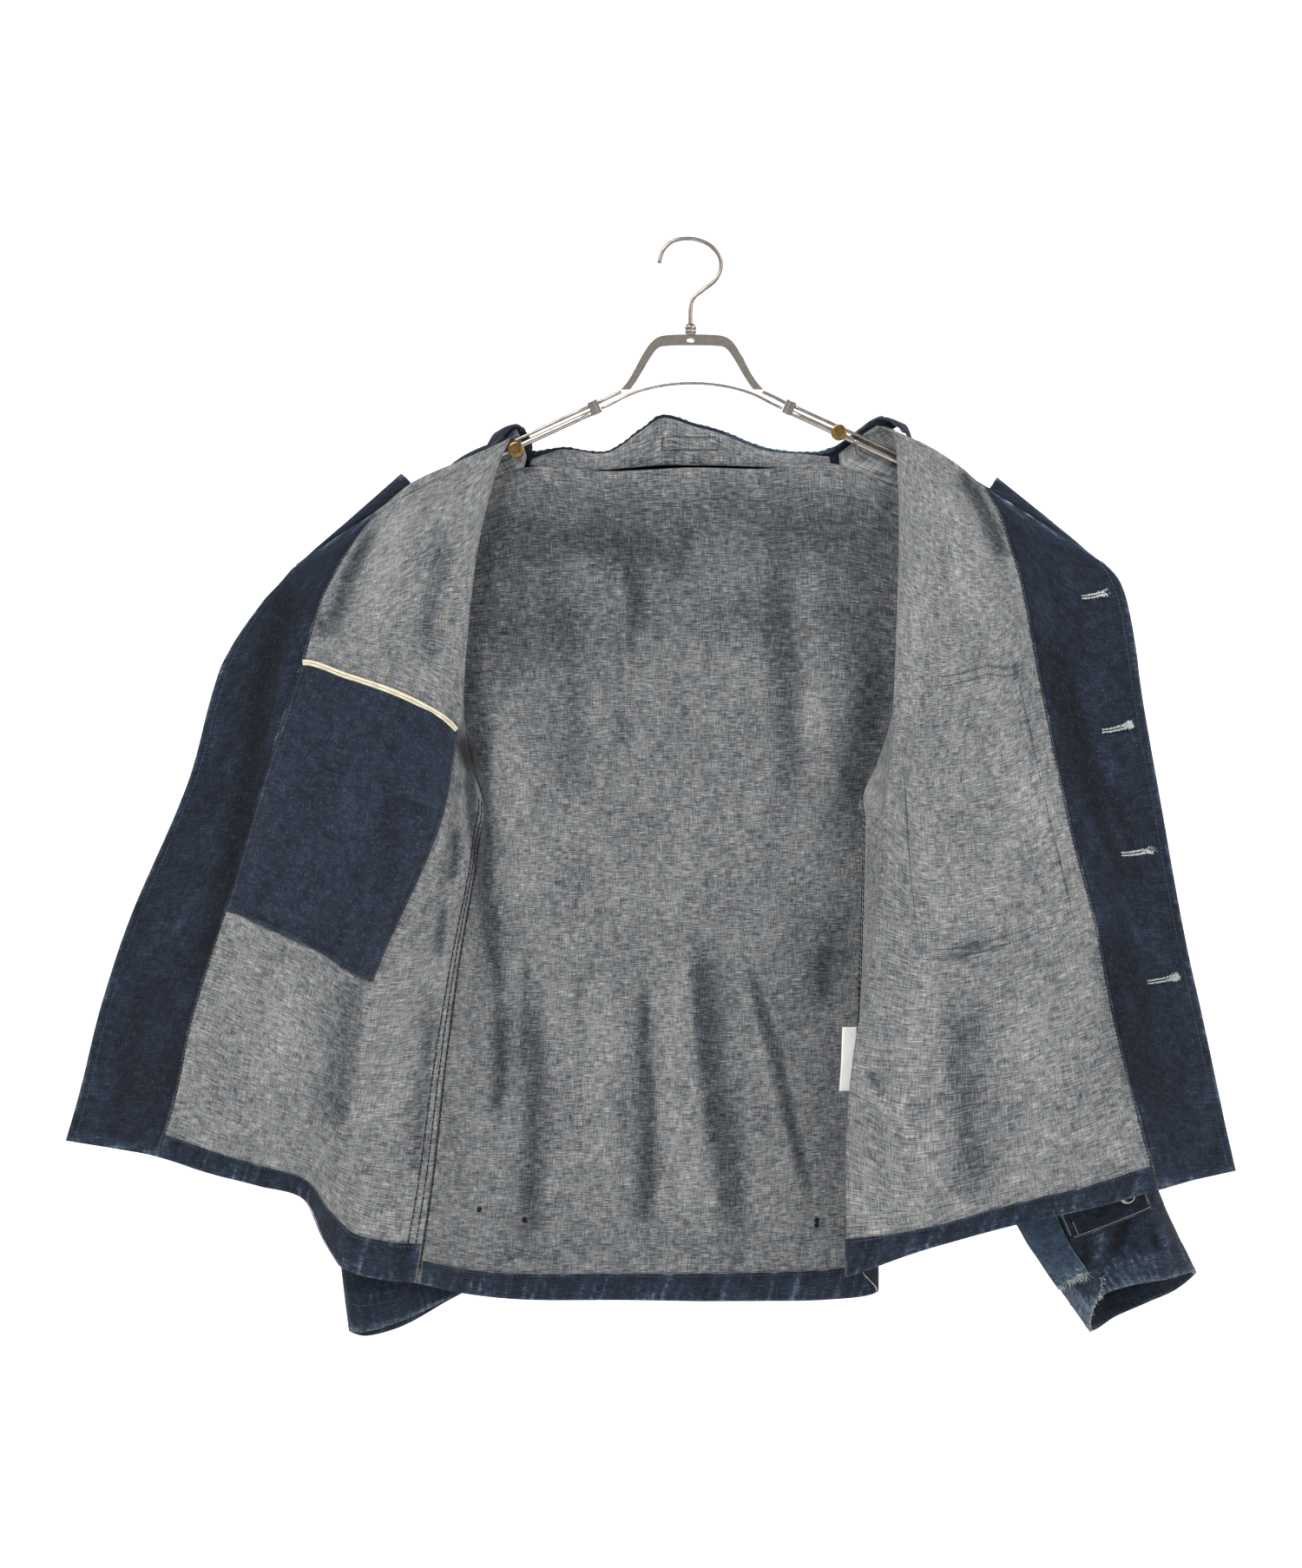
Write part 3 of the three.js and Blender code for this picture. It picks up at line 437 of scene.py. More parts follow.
def slack(points, seed, height, longest=120, shortest=45):
    """Uneven softness of worn cloth: a sum of sine waves in all directions of the picture, longer
    waves higher, `height` millimetres on the whole."""
    random = np.random.RandomState(seed)
    total = np.zeros(len(points))
    for _ in range(14):
        length = random.uniform(shortest, longest) / PIXEL
        turn = random.uniform(0, np.pi)
        direction = np.array([np.cos(turn), np.sin(turn)]) * 2 * np.pi / length
        total += length * np.sin(points @ direction + random.uniform(0, 2 * np.pi))
    return total / np.abs(total).max() * height / 1000


class Panel:
    """A net with its folds. place(u, v) gives points on it and the directions out of its near side,
    both worked out with the folds, which stand along the smooth net's own directions."""

    def __init__(self, net, turned, folds=None):
        self.net, self.turned, self.folds = net, turned, folds

    def _smooth_out(self, u, v):
        e = 0.002
        wrap = self.net.tube
        u0, u1 = (u - e, u + e) if wrap else (np.maximum(u - e, 0), np.minimum(u + e, 1))
        v0, v1 = np.maximum(v - e, 0), np.minimum(v + e, 1)
        across = self.net.at(u1, v) - self.net.at(u0, v)
        down = self.net.at(u, v1) - self.net.at(u, v0)
        out = np.cross(across, down)
        out /= np.linalg.norm(out, axis=1)[:, None]
        return -out if self.turned else out

    def points(self, u, v):
        smooth = self.net.at(u, v)
        if self.folds is None:
            return smooth
        height = self.folds(u, v, on_picture(smooth))
        return smooth + self._smooth_out(u, v) * height[:, None]

    def place(self, u, v):
        shape = np.shape(u)
        u, v = np.ravel(u).astype(float), np.ravel(v).astype(float)
        return self.points(u, v).reshape(shape + (3,)), self._smooth_out(u, v).reshape(shape + (3,))


def even_steps(net, axis, low, high, step):
    """Places along u or v between two ends, spaced evenly on the cloth."""
    fine = np.linspace(low, high, 400)
    lengths = 0
    for other in (0.15, 0.4, 0.65, 0.9):
        held = np.full(400, other)
        run = net.at(fine, held) if axis == "u" else net.at(held, fine)
        lengths = lengths + np.linalg.norm(np.diff(run, axis=0), axis=1) / 4
    reach = np.concatenate([[0], np.cumsum(lengths)])
    count = max(2, int(round(reach[-1] / step)) + 1)
    return np.interp(np.linspace(0, reach[-1], count), reach, fine)


def put(name, points, faces, finishes, finish_of_face=None, uv=None, marks=None, smooth=True):
    """A mesh of its own from points and faces, with its finishes, thread directions and marks."""
    mesh = bpy.data.meshes.new(name)
    mesh.from_pydata(np.asarray(points).tolist(), [], [list(map(int, f)) for f in faces])
    for finish in finishes:
        mesh.materials.append(finish)
    if finish_of_face is not None:
        mesh.polygons.foreach_set("material_index", np.asarray(finish_of_face, np.int32))
    mesh.polygons.foreach_set("use_smooth", np.full(len(mesh.polygons), smooth))
    if uv is not None:
        corners = np.zeros(len(mesh.loops), np.int32)
        mesh.loops.foreach_get("vertex_index", corners)
        layer = mesh.uv_layers.new(name="thread")
        layer.data.foreach_set("uv", np.asarray(uv, float)[corners].ravel().astype(np.float32))
    for mark, values in (marks or {}).items():
        layer = mesh.attributes.new(mark, "FLOAT", "POINT")
        layer.data.foreach_set("value", np.asarray(values, np.float32))
    mesh.update()
    piece = bpy.data.objects.new(name, mesh)
    bpy.context.scene.collection.objects.link(piece)
    return piece


def wall(name, panel, us, vs, finishes, lift=0.0, thick=CLOTH, corner=None, swell=None, marks=None):
    """Cloth of some thickness on a panel: a grid of places [u, v], moved out of the panel's near side
    by lift plus and minus half the thickness, closed round its edges. Its near face has the first
    finish and its far face the second. A whole sleeve joins its last column to its first; a piece with
    corners of its own, such as a strap sewn on a sleeve, never does."""
    columns, rows = len(us), len(vs)
    u, v = np.meshgrid(us, vs)
    if corner is not None:
        u, v = corner(u, v)
    p, out = panel.place(u, v)
    flat_uv = np.stack([
        np.concatenate([[0], np.cumsum(np.linalg.norm(np.diff(p, axis=1), axis=2).mean(0))])[None]
        + np.zeros((rows, 1)),
        np.concatenate([[0], np.cumsum(np.linalg.norm(np.diff(p, axis=0), axis=2).mean(1))])[:, None]
        + np.zeros((1, columns)),
    ], -1).reshape(-1, 2)
    extra = np.zeros(p.shape[:2]) if swell is None else swell(u, v,
                                                            on_picture(p.reshape(-1, 3)).reshape(u.shape
                                                                                                 + (2,)))
    wraps = panel.net.tube and corner is None
    near = p + out * (lift + thick / 2 + extra)[..., None]
    far = p + out * (lift - thick / 2 + extra)[..., None]
    count = columns * rows
    wide = columns if wraps else columns - 1
    jj, ii = np.meshgrid(np.arange(rows - 1), np.arange(wide), indexing="ij")
    jj, ii = jj.ravel(), ii.ravel()
    a = jj * columns + ii
    b = jj * columns + (ii + 1) % columns
    c = (jj + 1) * columns + (ii + 1) % columns
    d = (jj + 1) * columns + ii
    front = np.stack([a, b, c, d], 1)
    rear = np.stack([count + b, count + a, count + d, count + c], 1)
    i = np.arange(wide)
    n, e = (i + 1) % columns, (rows - 1) * columns
    edges = [
        np.stack([count + i, count + n, n, i], 1),
        np.stack([e + i, e + n, count + e + n, count + e + i], 1),
    ]
    if not wraps:
        j = np.arange(rows - 1) * columns
        edges += [
            np.stack([j, j + columns, count + j + columns, count + j], 1),
            np.stack([count + j + columns - 1, count + j + 2 * columns - 1, j + 2 * columns - 1,
                      j + columns - 1], 1),
        ]
    edges = np.concatenate(edges)
    faces = np.concatenate([front, rear, edges])
    if panel.turned:
        faces = faces[:, ::-1]
    finish_of_face = np.concatenate([np.zeros(len(front)), np.ones(len(rear) + len(edges))])
    points = np.concatenate([near.reshape(-1, 3), far.reshape(-1, 3)])
    values = {} if marks is None else marks(np.tile(u.ravel(), 2), np.tile(v.ravel(), 2),
                                            on_picture(points))
    return put(name, points, faces, finishes, finish_of_face % len(finishes), np.tile(flat_uv, (2, 1)),
               values)


def strip_uv(points):
    """How far each point lies along a run of points, in metres."""
    return np.concatenate([[0], np.cumsum(np.linalg.norm(np.diff(points, axis=0), axis=1))])


def round_bar(name, path, radius, finish, sides=12, ends=True):
    """A round bar: circles of the radius at each point of the path, square to it, closed by a small
    dome at both ends. radius may be one number or one for each point."""
    path = np.asarray(path, float)
    radius = np.broadcast_to(np.asarray(radius, float), (len(path),)).copy()
    tangent = np.gradient(path, axis=0)
    tangent /= np.linalg.norm(tangent, axis=1)[:, None]
    if ends:
        first, last = path[0] - tangent[0] * radius[0] * 0.35, path[-1] + tangent[-1] * radius[-1] * 0.35
        path = np.concatenate([[first], path, [last]])
        tangent = np.concatenate([tangent[:1], tangent, tangent[-1:]])
        radius = np.concatenate([[radius[0] * 0.7], radius, [radius[-1] * 0.7]])
    side = np.cross(tangent, [0, 1, 0])
    weak = np.linalg.norm(side, axis=1) < 1e-3
    side[weak] = np.cross(tangent[weak], [1, 0, 0])
    side /= np.linalg.norm(side, axis=1)[:, None]
    up = np.cross(side, tangent)
    turn = np.linspace(0, 2 * np.pi, sides, endpoint=False)
    ring = np.cos(turn)[None, :, None] * side[:, None] + np.sin(turn)[None, :, None] * up[:, None]
    points = (path[:, None] + ring * radius[:, None, None]).reshape(-1, 3)
    rows = len(path)
    j, i = np.meshgrid(np.arange(rows - 1), np.arange(sides), indexing="ij")
    a, b = (j * sides + i).ravel(), (j * sides + (i + 1) % sides).ravel()
    faces = np.stack([a, b, b + sides, a + sides], 1).tolist()
    faces += [list(range(sides - 1, -1, -1)), list(range((rows - 1) * sides, rows * sides))]
    faces = [f[::-1] for f in faces]
    uv = np.stack([np.tile(turn * 0.002, rows), np.repeat(strip_uv(path), sides)], 1)
    return put(name, points, faces, [finish], uv=uv)


def smooth_path(points, count):
    """The points joined by a smooth curve, with that many points on it."""
    points = np.asarray(points, float)
    places = np.concatenate([[0], np.cumsum(np.linalg.norm(np.diff(points, axis=0), axis=1))])
    places /= places[-1]
    return along(points, places, np.linspace(0, 1, count), False)


def turned_form(name, profile, centre, axis, finish, sides=48, smooth=True, knurl=0.0):
    """A turned piece: a profile of (radius, height) carried round an axis. With knurl, every second
    edge point of the profile's outer wall stands in by that depth."""
    profile = np.asarray(profile, float)
    axis = np.asarray(axis, float) / np.linalg.norm(axis)
    side = np.cross(axis, [0.123, 0.9, 0.31])
    side /= np.linalg.norm(side)
    up = np.cross(axis, side)
    turn = np.linspace(0, 2 * np.pi, sides, endpoint=False)
    ring = np.cos(turn)[:, None] * side + np.sin(turn)[:, None] * up
    radius = np.broadcast_to(profile[:, None, 0], (len(profile), sides)).copy()
    if knurl:
        rim = profile[:, 0] > profile[:, 0].max() * 0.985
        radius[rim] -= knurl * (np.arange(sides) % 2)
    points = centre + ring[None] * radius[..., None] + axis * profile[:, None, 1:2]
    points = points.reshape(-1, 3)
    j, i = np.meshgrid(np.arange(len(profile) - 1), np.arange(sides), indexing="ij")
    a, b = (j * sides + i).ravel(), (j * sides + (i + 1) % sides).ravel()
    faces = np.stack([a, b, b + sides, a + sides], 1).tolist()
    faces += [list(range(sides - 1, -1, -1)), list(range((len(profile) - 1) * sides, len(profile) * sides))]
    return put(name, points, faces, [finish], smooth=smooth)

# ---- Finishes -------------------------------------------------------------------------------

def linear(r, g, b):
    """A colour as measured on a screen, from 0 to 255, turned into light."""
    return tuple((c / 255 / 12.92) if c <= 10 else ((c / 255 + 0.055) / 1.055) ** 2.4 for c in (r, g,
                                                                                                b)) + (1.0,)


class Finish:
    """A material and short ways to add its nodes."""

    def __init__(self, name):
        self.material = bpy.data.materials.new(name)
        self.material.use_nodes = True
        self.tree = self.material.node_tree
        self.shader = self.tree.nodes["Principled BSDF"]

    def node(self, kind, settings=None, **sockets):
        made = self.tree.nodes.new(kind)
        for key, value in (settings or {}).items():
            setattr(made, key, value)
        for key, value in sockets.items():
            self.set(made.inputs[int(key[1:]) if key[0] == "_" else key.replace("_", " ")], value)
        return made

    def set(self, socket, value):
        if isinstance(value, bpy.types.NodeSocket):
            self.tree.links.new(value, socket)
        else:
            socket.default_value = value

    def thread_place(self, across=1.0, along=1.0, turn=0.0):
        """The cloth's own coordinates in metres, stretched across and along its threads."""
        uv = self.node("ShaderNodeUVMap", {"uv_map": "thread"})
        return self.node("ShaderNodeMapping", None, Vector=uv.outputs[0], Scale=(across, along, 1.0),
                         Rotation=(0.0, 0.0, turn)).outputs[0]

    def object_place(self, scale=(1.0, 1.0, 1.0)):
        where = self.node("ShaderNodeTexCoord").outputs["Object"]
        return self.node("ShaderNodeMapping", None, Vector=where, Scale=scale).outputs[0]

    def noise(self, where, scale=1.0, detail=2.0, roughness=0.5):
        return self.node("ShaderNodeTexNoise", {"noise_dimensions": "3D"}, Vector=where, Scale=scale,
                         Detail=detail, Roughness=roughness).outputs[0]

    def mark(self, name):
        return self.node("ShaderNodeAttribute", {"attribute_name": name}).outputs["Fac"]

    def math(self, operation, a, b=0.0, c=0.0, clamp=False):
        made = self.node("ShaderNodeMath", {"operation": operation, "use_clamp": clamp})
        for socket, value in zip(made.inputs, (a, b, c)):
            self.set(socket, value)
        return made.outputs[0]

    def sum(self, base, *terms):
        """base plus each (value, weight), the value counted from its middle, 0.5."""
        total = base
        for value, weight in terms:
            total = self.math("ADD", total, self.math("MULTIPLY_ADD", value, weight, -0.5 * weight))
        return total

    def ramp(self, value, stops):
        made = self.node("ShaderNodeValToRGB", None, Fac=value)
        marks = made.color_ramp.elements
        while len(marks) < len(stops):
            marks.new(0.5)
        for element, (place, colour) in zip(marks, stops):
            element.position = place
            element.color = colour
        return made.outputs[0]

    def mix(self, share, a, b, kind="MIX"):
        made = self.node("ShaderNodeMix", {"data_type": "RGBA", "blend_type": kind})
        self.set(made.inputs[0], share)
        self.set(made.inputs[6], a)
        self.set(made.inputs[7], b)
        return made.outputs[2]

    def bump(self, height, distance, strength=1.0, below=None):
        made = self.node("ShaderNodeBump", None, Height=height, Distance=distance, Strength=strength)
        if below is not None:
            self.set(made.inputs["Normal"], below)
        return made.outputs[0]


def twill(finish):
    """Fine height of the weave: thread by thread in both directions, warp over weft."""
    warp = finish.noise(finish.thread_place(1500, 160), 1.0, 1.0)
    weft = finish.noise(finish.thread_place(160, 1500), 1.0, 1.0)
    diagonal = finish.node("ShaderNodeTexWave", {"wave_type": "BANDS", "bands_direction": "X"},
                           Vector=finish.thread_place(1.0, 1.0,
                                                      0.9), Scale=190.0, Distortion=0.6, Detail=1.0)
    return finish.sum(0.5, (warp, 0.8), (weft, 0.8), (diagonal.outputs["Fac"], 0.25))


# How much the painted shade darkens and the wear and painted highlights bleach the cloth's tone, and the
# colour of stains and painted shadow.
PAINTED_SHADE_WEIGHT, WEAR_AND_HIGHLIGHT_WEIGHT = 0.3, 0.42
STAIN_AND_SHADOW_COLOUR = linear(24, 23, 24)


def denim(name, stops, blue, beige, slub, mottle, cloud, fleck=None, roughness=0.92):
    """Worn denim. Its tone is a sum of long slubs across and down the cloth, blotches and clouds; a
    ramp turns tone into colour, a second noise leans it to blue or beige, and painted marks darken
    it with painted shade in folds and hollows, bleach it with wear and painted highlights, and
    stain it, with a painted shadow in the armhole."""
    f = Finish(name)
    weft = f.noise(f.thread_place(130, 1700), 1.0, 2.0, 0.6)
    warp = f.noise(f.thread_place(1700, 130), 1.0, 2.0, 0.6)
    long_weft = f.noise(f.thread_place(52, 1000), 1.0, 2.0, 0.6)
    long_warp = f.noise(f.thread_place(1100, 40), 1.0, 2.0, 0.6)
    blotch = f.noise(f.thread_place(150, 190), 1.0, 4.0, 0.7)
    clouds = f.noise(f.thread_place(26, 16), 1.0, 4.0, 0.65)
    tone = f.sum(0.5, (weft, slub), (warp, slub * 0.65), (long_weft, slub * 0.55), (long_warp, slub * 0.36),
                 (blotch, mottle), (clouds, cloud))
    # Painted shade darkens the tone; wear and painted highlights lighten it.
    deep = f.mark("deep")
    worn = f.mark("worn")
    tone = f.math("SUBTRACT", tone, f.math("MULTIPLY", deep, PAINTED_SHADE_WEIGHT))
    tone = f.math("ADD", tone, f.math("MULTIPLY", worn, WEAR_AND_HIGHLIGHT_WEIGHT), clamp=True)
    colour = f.ramp(tone, stops)
    lean = f.noise(f.thread_place(95, 75), 1.0, 3.0, 0.6)
    colour = f.mix(f.ramp(lean, [(0.42, (0, 0, 0, 1)), (0.72, (0.55, 0.55, 0.55, 1))]), colour, blue,
                   "SOFT_LIGHT")
    lean_warm = f.noise(f.thread_place(60, 110), 1.3, 3.0, 0.6)
    colour = f.mix(f.ramp(lean_warm, [(0.5, (0, 0, 0, 1)), (0.75, (0.5, 0.5, 0.5, 1))]), colour, beige,
                   "SOFT_LIGHT")
    if fleck is not None:
        short = f.noise(f.thread_place(210, 900), 1.0, 1.0, 0.5)
        tall = f.noise(f.thread_place(900, 160), 1.0, 1.0, 0.5)
        most = f.math("MAXIMUM", short, tall)
        colour = f.mix(f.ramp(most, [(0.60, (0, 0, 0, 1)), (0.80, (0.34, 0.34, 0.34, 1))]), colour, fleck)
    # Real stains, and the painted shadow in the armhole's hollow, mixed in with one dark colour.
    stain = f.mark("stain")
    colour = f.mix(stain, colour, STAIN_AND_SHADOW_COLOUR)
    f.set(f.shader.inputs["Base Color"], colour)
    f.set(f.shader.inputs["Roughness"], f.ramp(weft,
                                               [(0.0, (roughness - 0.08,) * 3 + (1,)),
                                                (1.0, (1.0, 1.0, 1.0, 1))]))
    f.shader.inputs["Specular IOR Level"].default_value = 0.12
    f.shader.inputs["Sheen Weight"].default_value = 0.12
    f.shader.inputs["Sheen Roughness"].default_value = 0.6
    f.set(f.shader.inputs["Normal"], f.bump(f.sum(0.5, (weft, 0.7), (warp, 0.7)), 0.0004, 0.6,
                                            f.bump(twill(f), 0.0002, 0.35)))
    return f.material


WRONG_SIDE = denim(
    "denim_wrong_side",
    [(0.0, linear(30, 32, 38)), (0.28, linear(70, 73, 79)), (0.5, linear(114, 115, 116)),
     (0.72, linear(150, 150, 147)), (1.0, linear(200, 199, 190))],
    linear(106, 124, 132), linear(160, 148, 118), slub=1.15, mottle=0.5, cloud=0.34)
FACE_SIDE = denim(
    "denim_face_side",
    [(0.0, linear(5, 7, 12)), (0.35, linear(13, 18, 27)), (0.55, linear(23, 31, 45)),
     (0.75, linear(42, 54, 72)), (1.0, linear(106, 120, 134))],
    linear(50, 62, 84), linear(120, 122, 118), slub=0.8, mottle=0.5, cloud=0.6, fleck=linear(74, 86, 102))
POCKET_SIDE = denim(
    "denim_pocket",
    [(0.0, linear(8, 11, 19)), (0.35, linear(20, 26, 38)), (0.55, linear(32, 40, 55)),
     (0.75, linear(54, 64, 80)), (1.0, linear(116, 127, 139))],
    linear(52, 66, 92), linear(120, 122, 118), slub=0.6, mottle=0.46, cloud=0.42, fleck=linear(96, 106,
                                                                                               119))
# Paler, faded denim: the worn cuff patch, and the painted highlight on the lit part of the collar's roll.
FADED_AND_HIGHLIGHT_SIDE = denim(
    "denim_faded_and_highlight",
    [(0.0, linear(22, 30, 44)), (0.35, linear(36, 50, 68)), (0.55, linear(50, 66, 84)),
     (0.72, linear(78, 96, 110)), (1.0, linear(176, 188, 184))],
    linear(50, 82, 116), linear(150, 156, 146), slub=0.6, mottle=0.5, cloud=0.5, fleck=linear(112, 128,
                                                                                              138))


def yarn(name, colour, dark):
    """Twisted sewing thread: fine bands of a darker tone wound round it."""
    f = Finish(name)
    grain = f.noise(f.object_place((900, 900, 900)), 1.0, 2.0)
    drift = f.noise(f.object_place((25, 25, 25)), 1.0, 2.0)
    tone = f.sum(0.5, (grain, 0.7), (drift, 0.8))
    f.set(f.shader.inputs["Base Color"], f.ramp(tone, [(0.2, dark), (0.8, colour)]))
    f.set(f.shader.inputs["Roughness"], f.ramp(grain,
                                               [(0.0, (0.7, 0.7, 0.7, 1)), (1.0, (0.95, 0.95, 0.95, 1))]))
    f.shader.inputs["Specular IOR Level"].default_value = 0.2
    f.set(f.shader.inputs["Normal"], f.bump(grain, 0.0002, 0.6))
    return f.material


PALE_YARN = yarn("thread_pale", linear(196, 192, 176), linear(138, 138, 130))
BLEACHED_YARN = yarn("thread_bleached", linear(214, 217, 208), linear(128, 140, 144))
BLACK_YARN = yarn("thread_black", linear(26, 28, 34), linear(8, 9, 12))
NAVY_YARN = yarn("thread_navy", linear(30, 35, 48), linear(12, 15, 22))
DULL_YARN = yarn("thread_dull", linear(84, 92, 106), linear(42, 48, 60))


def metal(name, colour, dark, rough, grain_scale, streak):
    """Worn plated metal: drawn streaks along it, small cloudy stains and a soft gloss."""
    f = Finish(name)
    drawn = f.noise(f.object_place(streak), 1.0, 3.0, 0.6)
    cloud = f.noise(f.object_place((grain_scale,) * 3), 1.0, 4.0, 0.6)
    tone = f.sum(0.5, (drawn, 0.5), (cloud, 0.9))
    f.set(f.shader.inputs["Base Color"], f.ramp(tone, [(0.2, dark), (0.75, colour)]))
    f.shader.inputs["Metallic"].default_value = 1.0
    f.set(f.shader.inputs["Roughness"], f.ramp(cloud,
                                               [(0.2, (rough + 0.14,) * 3 + (1,)),
                                                (0.8, (rough,) * 3 + (1,))]))
    f.set(f.shader.inputs["Normal"], f.bump(drawn, 0.00006, 0.5))
    return f.material


STEEL = metal("steel_satin", linear(168, 160, 153), linear(104, 96, 90), 0.3, 160, (420, 420, 420))
BRIGHT_STEEL = metal("steel_bright", linear(190, 184, 177), linear(132, 124, 117), 0.24, 120,
                     (500, 500, 500))
BRASS = metal("brass_aged", linear(150, 122, 78), linear(84, 64, 38), 0.32, 220, (300, 300, 300))


def bare_label():
    """Smooth woven tape for a label that is left blank, a little grey with handling."""
    f = Finish("label_blank")
    weave = f.noise(f.thread_place(1400, 1400), 1.0, 1.0)
    cloud = f.noise(f.thread_place(90, 60), 1.0, 3.0)
    f.set(f.shader.inputs["Base Color"], f.ramp(f.sum(0.5, (weave, 0.3), (cloud, 0.9)),
                                                [(0.1, linear(232, 232, 228)),
                                                 (0.6, linear(252, 252, 249))]))
    f.set(f.shader.inputs["Roughness"], f.ramp(weave,
                                               [(0.0, (0.6, 0.6, 0.6, 1)), (1.0, (0.8, 0.8, 0.8, 1))]))
    f.set(f.shader.inputs["Normal"], f.bump(weave, 0.0001, 0.5))
    return f.material


LABEL = bare_label()


def selvedge():
    """The loom's own edge: cream threads with one fine dark line down their middle."""
    f = Finish("selvedge_cream")
    uv = f.node("ShaderNodeUVMap", {"uv_map": "thread"})
    parts = f.node("ShaderNodeSeparateXYZ", None, Vector=uv.outputs[0])
    from_middle = f.math("ABSOLUTE", f.math("SUBTRACT", parts.outputs[1], 0.0021))
    fuzz = f.noise(f.thread_place(120, 900), 1.0, 2.0)
    dark_line = f.math("LESS_THAN", f.sum(from_middle, (fuzz, 0.0003)), 0.00028)
    cream = f.ramp(fuzz, [(0.2, linear(176, 166, 140)), (0.7, linear(226, 218, 194))])
    f.set(f.shader.inputs["Base Color"], f.mix(dark_line, cream, linear(120, 108, 84)))
    f.set(f.shader.inputs["Roughness"], f.ramp(fuzz,
                                               [(0.0, (0.8, 0.8, 0.8, 1)), (1.0, (1.0, 1.0, 1.0, 1))]))
    f.shader.inputs["Specular IOR Level"].default_value = 0.15
    f.set(f.shader.inputs["Normal"], f.bump(fuzz, 0.0003, 0.6))
    return f.material


SELVEDGE = selvedge()


def horn():
    """Dark button horn with soft cloudy streaks."""
    f = Finish("button_dark")
    cloud = f.noise(f.object_place((260, 500, 160)), 1.0, 4.0, 0.6)
    f.set(f.shader.inputs["Base Color"], f.ramp(cloud,
                                                [(0.3, linear(20, 22, 28)), (0.75, linear(58, 56, 56))]))
    f.set(f.shader.inputs["Roughness"], f.ramp(cloud,
                                               [(0.0, (0.28, 0.28, 0.28, 1)), (1.0, (0.5, 0.5, 0.5, 1))]))
    f.set(f.shader.inputs["Normal"], f.bump(cloud, 0.0001, 0.4))
    return f.material


BUTTON = horn()

# ---- Camera, floor and light ----------------------------------------------------------------

def set_stage():
    """The camera stands where the photographer's eye was, square to the hanger, and the picture is
    1500 by 1806 pixels of 0.72 mm on the hanger's plane."""
    lens = bpy.data.cameras.new("picture_camera")
    lens.sensor_fit = "AUTO"
    lens.sensor_width = 36.0
    tall = 1806 * PIXEL / 1000
    lens.lens = 36.0 * (EYE_DISTANCE / 1000) / tall
    middle_x = (750 - REST_X) * PIXEL / 1000
    middle_z = (REST_Y - 903) * PIXEL / 1000
    lens.shift_x = (middle_x - EYE_X / 1000) / tall
    lens.shift_y = (middle_z - EYE_Z / 1000) / tall
    camera = bpy.data.objects.new("picture_camera", lens)
    camera.location = (EYE_X / 1000, -EYE_DISTANCE / 1000, EYE_Z / 1000)
    camera.rotation_euler = (math.pi / 2, 0, 0)
    bpy.context.scene.collection.objects.link(camera)
    bpy.context.scene.camera = camera
    bpy.context.scene.view_settings.view_transform = "Standard"

    # The floor runs back and sweeps up into a wall: straight, then a quarter circle, then straight.
    front, drop, back, bend, top, half_width = -6.0, -1.35, 1.6, 1.2, 7.0, 9.0
    turn = np.linspace(0, np.pi / 2, 24)
    y = np.concatenate([[front], back + bend * np.sin(turn), [back + bend]])
    z = np.concatenate([[drop], drop + bend * (1 - np.cos(turn)), [top]])
    x = np.array([-half_width, half_width])
    points = np.stack(np.broadcast_arrays(x[None, :], y[:, None], z[:, None]), -1).reshape(-1, 3)
    j = np.arange(len(y) - 1)
    faces = np.stack([2 * j, 2 * j + 1, 2 * j + 3, 2 * j + 2], 1)
    f = Finish("floor_pale")
    f.shader.inputs["Base Color"].default_value = linear(246, 246, 246)
    f.shader.inputs["Roughness"].default_value = 0.9
    floor = put("floor", points, faces, [f.material])

    world = bpy.data.worlds.new("studio")
    world.use_nodes = True
    world.node_tree.nodes["Background"].inputs[0].default_value = (1.0, 1.0, 1.0, 1.0)
    world.node_tree.nodes["Background"].inputs[1].default_value = 0.30
    bpy.context.scene.world = world

    def lamp(name, place, aim, size, watts, colour=(1, 1, 1)):
        light = bpy.data.lights.new(name, "AREA")
        light.shape, light.size, light.energy, light.color = "SQUARE", size, watts, colour
        holder = bpy.data.objects.new(name, light)
        holder.location = place
        holder.rotation_mode = "QUATERNION"
        holder.rotation_quaternion = (Vector(aim) - Vector(place)).to_track_quat("-Z", "Y")
        bpy.context.scene.collection.objects.link(holder)

    middle = (0.0, 0.0, -0.45)
    lamp("key_light", (-1.2, -2.3, 1.7), middle, 1.0, 92)
    lamp("side_light", (1.8, -2.1, 0.5), middle, 1.2, 38)
    lamp("rear_light", (0.3, 2.2, 1.9), (0, 0, -0.4), 1.4, 26)
    lamp("wall_light_left", (-2.6, 0.4, 1.2), (-0.6, 2.8, -0.5), 1.5, 60)
    lamp("wall_light_right", (2.6, 0.4, 1.2), (0.6, 2.8, -0.5), 1.5, 60)


set_stage()

# ---- Folds ----------------------------------------------------------------------------------

def ease(value, low, high):
    """From 0 at low to 1 at high, smooth at both ends."""
    t = np.clip((value - low) / (high - low), 0, 1)
    return t * t * (3 - 2 * t)


